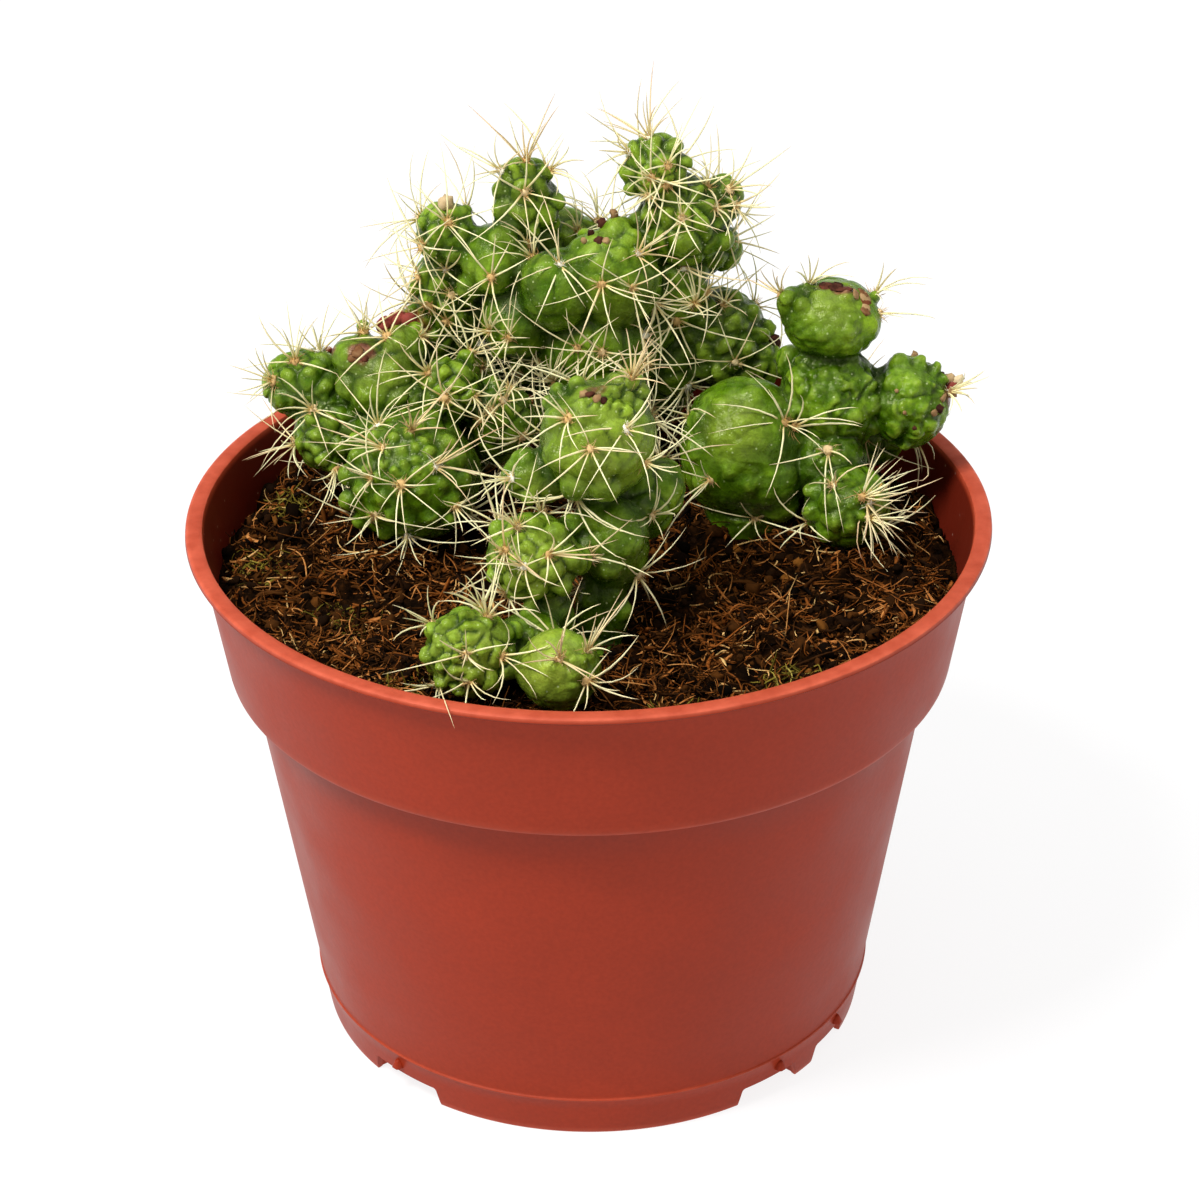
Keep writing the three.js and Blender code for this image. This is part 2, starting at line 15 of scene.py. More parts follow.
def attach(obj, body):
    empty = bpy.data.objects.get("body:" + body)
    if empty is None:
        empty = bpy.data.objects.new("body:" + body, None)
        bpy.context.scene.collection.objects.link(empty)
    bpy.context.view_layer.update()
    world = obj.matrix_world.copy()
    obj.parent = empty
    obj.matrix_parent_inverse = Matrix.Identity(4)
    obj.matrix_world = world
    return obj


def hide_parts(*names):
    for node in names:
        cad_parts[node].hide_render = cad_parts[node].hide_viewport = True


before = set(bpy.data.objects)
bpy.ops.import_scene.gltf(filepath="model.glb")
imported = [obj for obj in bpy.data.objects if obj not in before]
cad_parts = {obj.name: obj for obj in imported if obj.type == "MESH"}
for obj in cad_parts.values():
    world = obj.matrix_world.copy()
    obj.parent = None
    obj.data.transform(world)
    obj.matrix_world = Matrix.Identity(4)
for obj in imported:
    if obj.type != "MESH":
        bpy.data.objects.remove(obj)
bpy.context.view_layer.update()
MM = 0.001
SOIL_TOP = 80.0
print("solids:", sorted(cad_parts))

# %% [markdown]
# ## Camera, floor and light
# The pot is seen from the front and about thirty degrees above it, from half a metre away,
# which the ellipses of its rim and feet give. The camera leans by half a degree. We write its
# three axes as a matrix, because that holds the lean exactly.
# The floor is a plain white sheet. One soft box hangs at the upper left and a broad one
# overhead, and a bright white room fills the rest, which gives the pale sides, the shade
# under the rim, deepened there by painted shade in the pot's colour, and a soft contact shadow.

# %% The camera
CAMERA_AT = Vector((1.733, -472.666, 342.930)) * MM
LOOK_DOWN = math.radians(29.7946)
LEAN = math.radians(-0.47389)
FOCAL_PIXELS, PICTURE_PIXELS, SENSOR_MM = 3392.07, 1200, 36.0

ahead = Vector((0, math.cos(LOOK_DOWN), -math.sin(LOOK_DOWN)))
over = Vector((0, math.sin(LOOK_DOWN), math.cos(LOOK_DOWN)))
across = Vector((1, 0, 0))
camera_right = math.cos(LEAN) * across + math.sin(LEAN) * over
camera_up = -math.sin(LEAN) * across + math.cos(LEAN) * over
turn = Matrix((camera_right, camera_up, -ahead)).transposed()

lens = bpy.data.cameras.new("photo_camera")
lens.sensor_width = SENSOR_MM
lens.lens = FOCAL_PIXELS / PICTURE_PIXELS * SENSOR_MM
camera = bpy.data.objects.new("photo_camera", lens)
camera.matrix_world = Matrix.Translation(CAMERA_AT) @ turn.to_4x4()
bpy.context.scene.collection.objects.link(camera)
bpy.context.scene.camera = camera
print("lens:", round(lens.lens, 2), "mm")

# %% Colours and nodes
MIX_FACTOR, MIX_A, MIX_B, MIX_COLOUR = 0, 6, 7, 2


def linear(hex_colour):
    """A colour such as A8432E, as Blender's linear values."""
    parts = [int(hex_colour[i : i + 2], 16) / 255 for i in (0, 2, 4)]
    values = [p / 12.92 if p <= 0.04045 else ((p + 0.055) / 1.055) ** 2.4 for p in parts]
    return (*values, 1.0)


def node(tree, kind, inputs=None, **settings):
    """Adds a node; an input is a number, a colour, a hex colour or another node's socket."""
    made = tree.nodes.new("ShaderNode" + kind)
    for key, value in settings.items():
        setattr(made, key, value)
    for key, value in (inputs or {}).items():
        if isinstance(value, bpy.types.NodeSocket):
            tree.links.new(value, made.inputs[key])
        else:
            made.inputs[key].default_value = linear(value) if isinstance(value, str) else value
    return made


def ramp(tree, value, *stops):
    """A colour that follows a value; each stop is a place and a hex colour or a grey."""
    made = node(tree, "ValToRGB", {0: value})
    elements = made.color_ramp.elements
    while len(elements) < len(stops):
        elements.new(0.5)
    for element, (place, colour) in zip(elements, stops):
        element.position = place
        element.color = linear(colour) if isinstance(colour, str) else (colour,) * 3 + (1,)
    return made.outputs[0]


def texture(tree, kind, size, output=0, inputs=None, **settings):
    """A pattern that stays on its piece, with features of about this many millimetres."""
    place = node(tree, "TexCoord").outputs["Object"]
    inputs = {"Vector": place, "Scale": 1 / (size * MM), **(inputs or {})}
    return node(tree, kind, inputs, **settings).outputs[output]


def grain(tree, size, detail, roughness=0.5):
    return texture(tree, "TexNoise", size, inputs={"Detail": detail, "Roughness": roughness})


def mapped(tree, value, low, high, to_low, to_high):
    """A value brought from one range to another, and kept in it."""
    inputs = {0: value, 1: low, 2: high, 3: to_low, 4: to_high}
    return node(tree, "MapRange", inputs).outputs[0]


def calculate(tree, operation, *values):
    return node(tree, "Math", dict(enumerate(values)), operation=operation).outputs[0]


def stored(tree, name):
    """A value that the piece keeps at each of its points."""
    return node(tree, "Attribute", attribute_name=name).outputs["Fac"]


def blend(tree, factor, first, second, kind="MIX"):
    inputs = {MIX_FACTOR: factor, MIX_A: first, MIX_B: second}
    made = node(tree, "Mix", inputs, data_type="RGBA", blend_type=kind)
    return made.outputs[MIX_COLOUR]


def new_material(name, **settings):
    """A material with one Principled surface, whose sockets hold what is the same all over."""
    material = bpy.data.materials.new(name)
    material.use_nodes = True
    surface = material.node_tree.nodes["Principled BSDF"]
    for key, value in settings.items():
        surface.inputs[key.replace("_", " ")].default_value = value
    return material, material.node_tree


def dress(material, relief=None, **sources):
    """Links sources to the surface; relief is a height, a strength and a depth."""
    tree = material.node_tree
    if relief:
        height, strength, depth = relief
        inputs = {"Height": height, "Strength": strength, "Distance": depth * MM}
        sources["Normal"] = node(tree, "Bump", inputs).outputs[0]
    for key, source in sources.items():
        tree.links.new(source, tree.nodes["Principled BSDF"].inputs[key.replace("_", " ")])


# %% Floor and lights
FLOOR_SIZE, FLOOR_GRAIN = 6.0, 40.0
FLOOR_GLOW, ROOM_GLOW = 0.86, 1.05
WHITE = (1.0, 1.0, 1.0, 1.0)
AIM_AT = Vector((0, 0, 0.08))
LIGHTS = {  # place in metres, size, watts
    "key_box": ((-0.5, -0.4, 1.05), 0.3, 13.0),
    "overhead_box": ((0.0, 0.1, 1.3), 1.1, 3.0),
}
scene = bpy.context.scene
scene.view_settings.view_transform = "Standard"

bpy.ops.object.select_all(action="DESELECT")
bpy.ops.mesh.primitive_grid_add(x_subdivisions=4, y_subdivisions=4, size=FLOOR_SIZE)
floor = bpy.context.object
floor.name = "floor"
paper, tree = new_material(
    "backlit_white_sheet", Roughness=0.9, Emission_Color=WHITE, Emission_Strength=FLOOR_GLOW
)
fine = node(tree, "TexNoise", {"Scale": FLOOR_GRAIN, "Detail": 3.0}).outputs[0]
dress(paper, Base_Color=ramp(tree, fine, (0.3, "6E6E6E"), (0.7, "727272")))
floor.data.materials.append(paper)

room = bpy.data.worlds.new("white_room")
room.use_nodes = True
tree = room.node_tree
upward = node(tree, "SeparateXYZ", {0: node(tree, "TexCoord").outputs["Generated"]}).outputs[2]
greys = [(0.0, 1.0), (0.1, 1.0), (0.25, 0.16), (0.4, 0.2), (0.75, 0.5), (1.0, 0.7)]
glow = calculate(tree, "MULTIPLY", ramp(tree, upward, *greys), ROOM_GLOW)
background = tree.nodes["Background"]
tree.links.new(glow, background.inputs["Strength"])
background.inputs["Color"].default_value = WHITE
scene.world = room

for name, (place, size, power) in LIGHTS.items():
    lamp = bpy.data.lights.new(name, "AREA")
    lamp.shape = "SQUARE"
    lamp.size = size
    lamp.energy = power
    holder = bpy.data.objects.new(name, lamp)
    holder.visible_camera = False
    aim = (AIM_AT - Vector(place)).to_track_quat("-Z", "Y")
    holder.matrix_world = Matrix.Translation(place) @ aim.to_matrix().to_4x4()
    scene.collection.objects.link(holder)
print("lights:", list(LIGHTS))

# %% [markdown]
# ## Helpers for shaping
# Numbers that look random come from a seeded generator, so that every run gives the same
# plant. Noise in space is a lattice of random values, smoothly joined. We write it with whole
# arrays, because a stem has tens of thousands of points.

# %% Shaping helpers
def deselect():
    if bpy.context.object and bpy.context.object.mode != "OBJECT":
        bpy.ops.object.mode_set(mode="OBJECT")
    bpy.ops.object.select_all(action="DESELECT")


def select_only(piece):
    deselect()
    bpy.context.view_layer.objects.active = piece
    piece.select_set(True)


def edit(piece):
    """Only this piece is selected, and edit mode is on with everything in it selected."""
    select_only(piece)
    bpy.ops.object.mode_set(mode="EDIT")
    bpy.ops.mesh.select_all(action="SELECT")


def bevel(piece, offset, segments):
    edit(piece)
    bpy.ops.mesh.bevel(offset=offset, segments=segments, affect="EDGES")
    deselect()


def extrude_rings(rings):
    """Draws the selected ring on from the first to the last; a ring is (radius, height)."""
    radius, height = rings[0]
    for next_radius, next_height in rings[1:]:
        rise = (0, 0, next_height - height)
        bpy.ops.mesh.extrude_region_move(TRANSFORM_OT_translate={"value": rise})
        share = next_radius / radius
        bpy.ops.transform.resize(value=(share, share, 1), center_override=(0, 0, 0))
        radius, height = next_radius, next_height


def apply_modifier(piece, kind, **settings):
    select_only(piece)
    modifier = piece.modifiers.new(kind.lower(), kind)
    for key, value in settings.items():
        setattr(modifier, key, value)
    bpy.ops.object.modifier_apply(modifier=modifier.name)


def settled(piece):
    """Moves a piece's place and turn into its points."""
    piece.data.transform(piece.matrix_world)
    piece.matrix_world = Matrix.Identity(4)
    return piece


def join(pieces, name):
    deselect()
    for piece in pieces:
        piece.select_set(True)
    bpy.context.view_layer.objects.active = pieces[0]
    bpy.ops.object.join()
    joined = bpy.context.object
    joined.name = name
    return joined


def shade_smooth(piece):
    piece.data.polygons.foreach_set("use_smooth", np.ones(len(piece.data.polygons), bool))


def points_of(piece):
    places = np.zeros(len(piece.data.vertices) * 3)
    piece.data.vertices.foreach_get("co", places)
    return places.reshape(-1, 3)


def normals_of(piece):
    directions = np.zeros(len(piece.data.vertices) * 3)
    piece.data.vertex_normals.foreach_get("vector", directions)
    return directions.reshape(-1, 3)


def set_points(piece, places):
    piece.data.vertices.foreach_set("co", np.asarray(places, float).ravel())
    piece.data.update()


def set_values(piece, name, values):
    """Stores one number per point, for a material to read by name."""
    layer = piece.data.attributes.new(name, "FLOAT", "POINT")
    layer.data.foreach_set("value", np.asarray(values, np.float32).ravel())


def smoothstep(low, high, value):
    share = np.clip((value - low) / (high - low), 0, 1)
    return share * share * (3 - 2 * share)


def unit(vectors):
    vectors = np.asarray(vectors, float)
    return vectors / np.maximum(np.linalg.norm(vectors, axis=-1, keepdims=True), 1e-9)


LATTICE_KEY, HASH_SCALE = np.array([127.1, 311.7, 74.7]), 43758.5453
LAYER_SHIFT, SEED_SHIFT, LAYER_SHRINK = 17.3, 13.7, 2.1


def noise(places, size, seed, layers=3):
    """Smooth random values from -1 to 1, with features of about this size."""
    total, weight, reach = np.zeros(len(places)), 1.0, 0.0
    for layer in range(layers):
        spot = places / size + LAYER_SHIFT * (seed + layer)
        cell = np.floor(spot)
        part = spot - cell
        part = part * part * (3 - 2 * part)
        value = np.zeros(len(places))
        for corner in range(8):
            step = np.array([corner & 1, corner >> 1 & 1, corner >> 2 & 1])
            key = (cell + step) @ LATTICE_KEY + seed * SEED_SHIFT
            random_value = np.mod(np.sin(key) * HASH_SCALE, 1.0) * 2 - 1
            value += random_value * np.prod(np.where(step, part, 1 - part), axis=1)
        total += weight * value
        reach += weight
        size, weight = size / LAYER_SHRINK, weight * 0.5
    return total / reach


def finished(piece, material, replaces=None):
    """Brings a piece from millimetres to metres, at the origin, and hands it to the frame."""
    piece.data.transform(Matrix.Scale(MM, 4))
    piece.data.materials.clear()
    piece.data.materials.append(material)
    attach(piece, "root")
    if replaces:
        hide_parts(replaces)
    triangles = sum(len(face.vertices) - 2 for face in piece.data.polygons)
    print(piece.name, "triangles:", triangles)


# %% [markdown]
# ## The pot's plastic
# The pot is polypropylene, injection moulded in a polished steel mould and coloured through.
# That gives a satin surface with a faint cloudiness, slightly orange-peeled, and paler at
# edges, partly from rubbing wear and partly as painted highlight where the rim top and fine
# ridges catch the light. The inside is darker, partly with damp and partly as painted shade
# of the hollow, and bands under the lip and under the collar step are painted darker as
# shade. Its IOR is 1.49, and satin mouldings have a roughness near 0.4. The rings below
# store where the edges and the inside are, so the material can follow them.

# %% The pot's material
POLYPROPYLENE_IOR = 1.49
DUST_SHARE, PAINTED_SHADE_SHARE = 0.55, 0.7

plastic, tree = new_material(
    "moulded_polypropylene", IOR=POLYPROPYLENE_IOR, Specular_IOR_Level=0.15
)
cloud = grain(tree, 14, 4.0)
colour = ramp(tree, cloud, (0.3, "942E14"), (0.5, "972F15"), (0.7, "9B3117"))
speckled = mapped(tree, grain(tree, 0.7, 2.0), 0.3, 0.7, 0.92, 1.06)
colour = blend(tree, 1.0, colour, speckled, "MULTIPLY")
# Edges are painted paler: rubbing wear, and painted highlight on the rim top, the ridge and the
# collar edge.
wear_and_highlight = calculate(tree, "MULTIPLY", stored(tree, "edge"), grain(tree, 3, 5.0))
colour = blend(tree, wear_and_highlight, colour, "DF6B4E")
# The inside is painted darker: damp stain, and painted shade in the pot's hollow.
inside = stored(tree, "inside")
colour = blend(tree, inside, colour, "6A1E0F")
# Bands under the lip and under the collar step are painted darker: painted shade.
painted_shade_factor = calculate(tree, "MULTIPLY", stored(tree, "painted_shade_bands"), PAINTED_SHADE_SHARE)
colour = blend(tree, painted_shade_factor, colour, "571C10")
dust = mapped(tree, texture(tree, "TexVoronoi", 2.6, "Distance"), 0.10, 0.05, 0.0, DUST_SHARE)
colour = blend(tree, calculate(tree, "MULTIPLY", dust, inside), colour, "C9A596")
satin = mapped(tree, cloud, 0.3, 0.7, 0.36, 0.5)
dress(plastic, (grain(tree, 1.1, 3.0), 0.08, 0.3), Base_Color=colour, Roughness=satin)

# %% [markdown]
# ## The pot
# A nursery pot is one thin shell: feet, a tapered body, a step out to a deep collar, and a
# flat lip. It could be drawn as a curve and screwed round an axis. We extrude a circle ring
# by ring instead, up the outside and down the inside, because each ring is then a line in a
# list with its radius, its height and how much paler it is painted, for wear and painted highlight.

# %% The pot's shell, ring by ring
POT_SIDES = 256
POT_HEIGHT, WALL = 89.0, 1.2
BODY_BOTTOM, BODY_TOP, COLLAR_EDGE_Z = 44.9, 54.9, 65.4
COLLAR_BOTTOM, COLLAR_TOP, LIP_UNDER = 58.0, 61.6, 87.9
FLOOR_TOP, FLOOR_UNDER, DRAIN_RADIUS = 5.0, 3.8, 3.4
RIDGE_Z, RIM_RADIUS = 7.5, 63.5


def body_radius(z):
    return BODY_BOTTOM + (BODY_TOP - BODY_BOTTOM) * z / COLLAR_EDGE_Z


def collar_radius(z):
    share = (COLLAR_TOP - COLLAR_BOTTOM) * (z - COLLAR_EDGE_Z) / (LIP_UNDER - COLLAR_EDGE_Z)
    return COLLAR_BOTTOM + share


def soil_height(x, y):
    """The rough lie of the mix, the same as in the solids."""
    mounds = 0.9 * np.sin(0.19 * x + 1.3) * np.cos(0.16 * y - 0.4)
    clods = 0.6 * np.sin(0.43 * x - 0.31 * y + 2) + 0.4 * np.cos(0.71 * x + 0.52 * y)
    rise = 1.2 * np.exp(-((x + 42) ** 2 + (y - 26) ** 2) / 500)
    return SOIL_TOP + mounds + clods + rise


def wall_rings(radius_at, low, high, count, offset=0.0):
    return [(radius_at(z) + offset, z, 0.0) for z in np.linspace(low, high, count)]


RINGS = [  # radius, height, how much paler: rubbing wear and painted highlight
    (44.55, 0.0, 0.6),
    (44.84, 0.12, 0.7),
    (44.95, 0.45, 0.3),
    *wall_rings(body_radius, 1.2, RIDGE_Z - 0.55, 4),
    (body_radius(RIDGE_Z) + 0.10, RIDGE_Z - 0.28, 0.0),
    (body_radius(RIDGE_Z) + 0.32, RIDGE_Z - 0.06, 0.3),
    (body_radius(RIDGE_Z) + 0.30, RIDGE_Z + 0.12, 0.45),
    (body_radius(RIDGE_Z) + 0.12, RIDGE_Z + 0.32, 0.2),
    *wall_rings(body_radius, RIDGE_Z + 0.7, 64.4, 9),
    (BODY_TOP + 0.08, 64.95, 0.0),
    (BODY_TOP + 0.45, 65.3, 0.0),
    (BODY_TOP + 1.0, COLLAR_EDGE_Z, 0.0),
    (COLLAR_BOTTOM - 0.55, COLLAR_EDGE_Z, 0.0),
    (COLLAR_BOTTOM - 0.18, COLLAR_EDGE_Z + 0.1, 0.15),
    (COLLAR_BOTTOM + 0.02, COLLAR_EDGE_Z + 0.35, 0.25),
    (COLLAR_BOTTOM + 0.13, COLLAR_EDGE_Z + 0.8, 0.1),
    *wall_rings(collar_radius, 67.2, 86.6, 6),
    (COLLAR_TOP - 0.02, 87.3, 0.0),
    (COLLAR_TOP + 0.2, 87.75, 0.0),
    (COLLAR_TOP + 0.6, LIP_UNDER, 0.0),
    (62.95, LIP_UNDER, 0.0),
    (63.32, 88.0, 0.2),
    (63.5, 88.16, 0.3),
    (63.44, 88.3, 0.2),
    (63.46, 88.5, 0.5),
    (63.36, 88.78, 1.1),
    (63.1, 88.95, 1.0),
    (62.8, POT_HEIGHT, 0.8),
    (61.5, POT_HEIGHT, 0.7),
    (61.1, 88.96, 0.7),
    (60.82, 88.8, 0.65),
    (60.68, 88.45, 0.4),
    (60.5, 87.7, 0.0),
    (collar_radius(86.8) - WALL, 86.4, 0.0),
    *wall_rings(collar_radius, 83.0, 67.4, 4, -WALL),
    (collar_radius(66.6) - WALL, 66.6, 0.0),
    (body_radius(66.6) - WALL, 66.6, 0.0),
    *wall_rings(body_radius, 64.0, 6.0, 4, -WALL),
    (body_radius(5.0) - WALL, FLOOR_TOP, 0.0),
    (30.0, FLOOR_TOP, 0.0),
    (DRAIN_RADIUS, FLOOR_TOP, 0.0),
    (DRAIN_RADIUS, FLOOR_UNDER, 0.0),
    (30.0, FLOOR_UNDER, 0.0),
    (body_radius(FLOOR_UNDER) - WALL, FLOOR_UNDER, 0.0),
    (body_radius(0.3) - WALL, 0.3, 0.0),
    (44.0, 0.0, 0.3),
]

deselect()
bpy.ops.mesh.primitive_circle_add(vertices=POT_SIDES, radius=RINGS[0][0], location=(0, 0, 0))
pot = bpy.context.object
pot.name = "nursery_pot"
edit(pot)
extrude_rings([ring[:2] for ring in [*RINGS, RINGS[0]]])
bpy.ops.mesh.select_all(action="SELECT")
bpy.ops.mesh.remove_doubles(threshold=0.001)
bpy.ops.mesh.normals_make_consistent(inside=False)
deselect()
print("pot rings:", len(RINGS), "points:", len(pot.data.vertices))

# %% [markdown]
# ## Feet, drain holes and moulding marks
# The lowest few millimetres of the wall are cut by gaps, which leaves feet, and each foot's
# ends turn inwards for stiffness. Booleans suit this, because the gaps cut a curved wall
# with straight tools, as the mould does. Each gap is wider at the floor, because a moulded
# foot needs draft to leave its mould.

# %% Gaps between the feet
FOOT_GAPS = [(32, 46.5), (53.5, 65), (129, 146)]  # degrees; the other half repeats them
NUB_TURNS = [41.2, 61, 136.5]
GAP_HEIGHT, GAP_DEPTH = 3.4, 24
GAP_DRAFT = 0.96  # how much wider a gap is at the floor, on each side
FOOT_END_WALL, FOOT_END_DEPTH, FOOT_END_HEIGHT = 1.4, 4.6, 4.1
FOOT_END_TURN = 0.9
NUB = {"vertices": 5, "radius1": 1.15, "radius2": 0.5, "depth": 1.5}
NUB_HEIGHT = 5.3
DRAIN_CIRCLE = 36.0


def around(piece, degrees):
    """Turns a piece that stands at the pot's front about the pot's axis."""
    settled(piece).data.transform(Matrix.Rotation(math.radians(degrees), 4, "Z"))
    return piece


def block(size, place):
    """A box at the pot's front."""
    deselect()
    bpy.ops.mesh.primitive_cube_add(size=1, scale=size, location=place)
    return bpy.context.object


def combine(pieces, operation):
    """Cuts the pot with these pieces, or adds them to it."""
    tool = join(pieces, "tool")
    apply_modifier(pot, "BOOLEAN", object=tool, operation=operation, solver="EXACT")
    bpy.data.objects.remove(tool)


gaps, ends, nubs, drains = [], [], [], []
for half in (0, 180):
    for start, stop in FOOT_GAPS:
        middle = half + (start + stop) / 2
        width = BODY_BOTTOM * math.radians(stop - start)
        place = (0, -BODY_BOTTOM, GAP_HEIGHT / 2 - 1)
        gap = block((width, GAP_DEPTH, GAP_HEIGHT + 2), place)
        for point in gap.data.vertices:
            if point.co.z < 0:
                point.co.x *= 1 + 2 * GAP_DRAFT / width
        bevel(gap, 0.5, 3)
        gaps.append(around(gap, middle))
        deselect()
        bpy.ops.mesh.primitive_cylinder_add(
            vertices=32, radius=DRAIN_RADIUS, depth=6, location=(0, -DRAIN_CIRCLE, 4.4)
        )
        drains.append(around(bpy.context.object, middle))
        for side, turn_to in ((-1, start), (1, stop)):
            tilt = half + turn_to + side * math.degrees(0.5 * FOOT_END_WALL / BODY_BOTTOM)
            place = (0, -BODY_BOTTOM + 0.7 + FOOT_END_DEPTH / 2, 2.11)
            end = block((FOOT_END_WALL, FOOT_END_DEPTH, FOOT_END_HEIGHT), place)
            bevel(end, 0.3, 2)
            ends.append(around(end, tilt + side * FOOT_END_TURN))
    for nub_turn in NUB_TURNS:
        deselect()
        bpy.ops.mesh.primitive_cone_add(location=(0, -body_radius(5.4) - 0.15, NUB_HEIGHT), **NUB)
        nub = bpy.context.object
        bevel(nub, 0.25, 2)
        nubs.append(around(nub, half + nub_turn))
combine(gaps, "DIFFERENCE")
combine(drains, "DIFFERENCE")
combine(ends, "UNION")
combine(nubs, "UNION")
print("feet cut, points:", len(pot.data.vertices))

# %% The pot's wear and painted highlight, its bands of painted shade, and its small departures from a true circle
SMOOTH_ANGLE = math.radians(35)
LIP_PAINTED_SHADE, STEP_PAINTED_SHADE, DAMP_AND_SHADE_HEIGHTS = (86.9, 88.25), (64.2, 65.45), (4.5, 88.2)
RING_NEAR, WALL_NEAR = 0.05, 0.9

places = points_of(pot)
heights = places[:, 2]
out = np.hypot(places[:, 0], places[:, 1])
angle = np.arctan2(places[:, 1], places[:, 0])
wear_and_highlight_shares = np.zeros(len(places))
# How much paler each edge is painted: rubbing wear and painted highlight.
for ring_radius, ring_height, wear_and_highlight_share in RINGS:
    near = np.hypot(out - ring_radius, heights - ring_height) < RING_NEAR
    wear_and_highlight_shares[near] = wear_and_highlight_share
set_values(pot, "edge", wear_and_highlight_shares)
# Where the inside is painted darker, for damp and for painted shade.
in_collar = heights > COLLAR_EDGE_Z + 1
inner_wall = np.where(in_collar, collar_radius(heights), body_radius(heights))
is_inside = (out < inner_wall - WALL_NEAR) & (heights > DAMP_AND_SHADE_HEIGHTS[0]) & (heights < DAMP_AND_SHADE_HEIGHTS[1])
set_values(pot, "inside", is_inside)
# The painted shade bands under the lip and under the collar step.
painted_shade_bands = (heights > LIP_PAINTED_SHADE[0]) & (heights < LIP_PAINTED_SHADE[1])
painted_shade_bands &= out > collar_radius(86.8) - 0.3
step_painted_shade = (heights > STEP_PAINTED_SHADE[0]) & (heights < STEP_PAINTED_SHADE[1])
step_painted_shade &= (out > body_radius(64.4) - 0.3) & (out < BODY_TOP + 1.2)
set_values(pot, "painted_shade_bands", np.maximum(painted_shade_bands, 0.5 * step_painted_shade))
sway = 0.1 * np.sin(2 * angle + 0.7) + 0.06 * np.sin(3 * angle + 2.1) + 0.03 * np.sin(7 * angle)
share = 1 + sway / RIM_RADIUS * (heights / POT_HEIGHT) ** 2
places[:, :2] *= share[:, None]
set_points(pot, places)
select_only(pot)
bpy.ops.object.shade_smooth_by_angle(angle=SMOOTH_ANGLE)
finished(pot, plastic, "pot")

# %% [markdown]
# ## The stems' plan
# Each stem is a cluster of swollen lobes. A row of the table gives a lobe's centre, with the
# height counted from the top of the mix; its half width and half length; the way that its
# growing tip faces; how far apart its tubercles are and how far they stand out; how wrinkled
# its skin is; how far apart its areoles are, with 0 for a bare lobe; and 1 where it ends in a
# crown of small new tubercles. A root is a place and a radius.

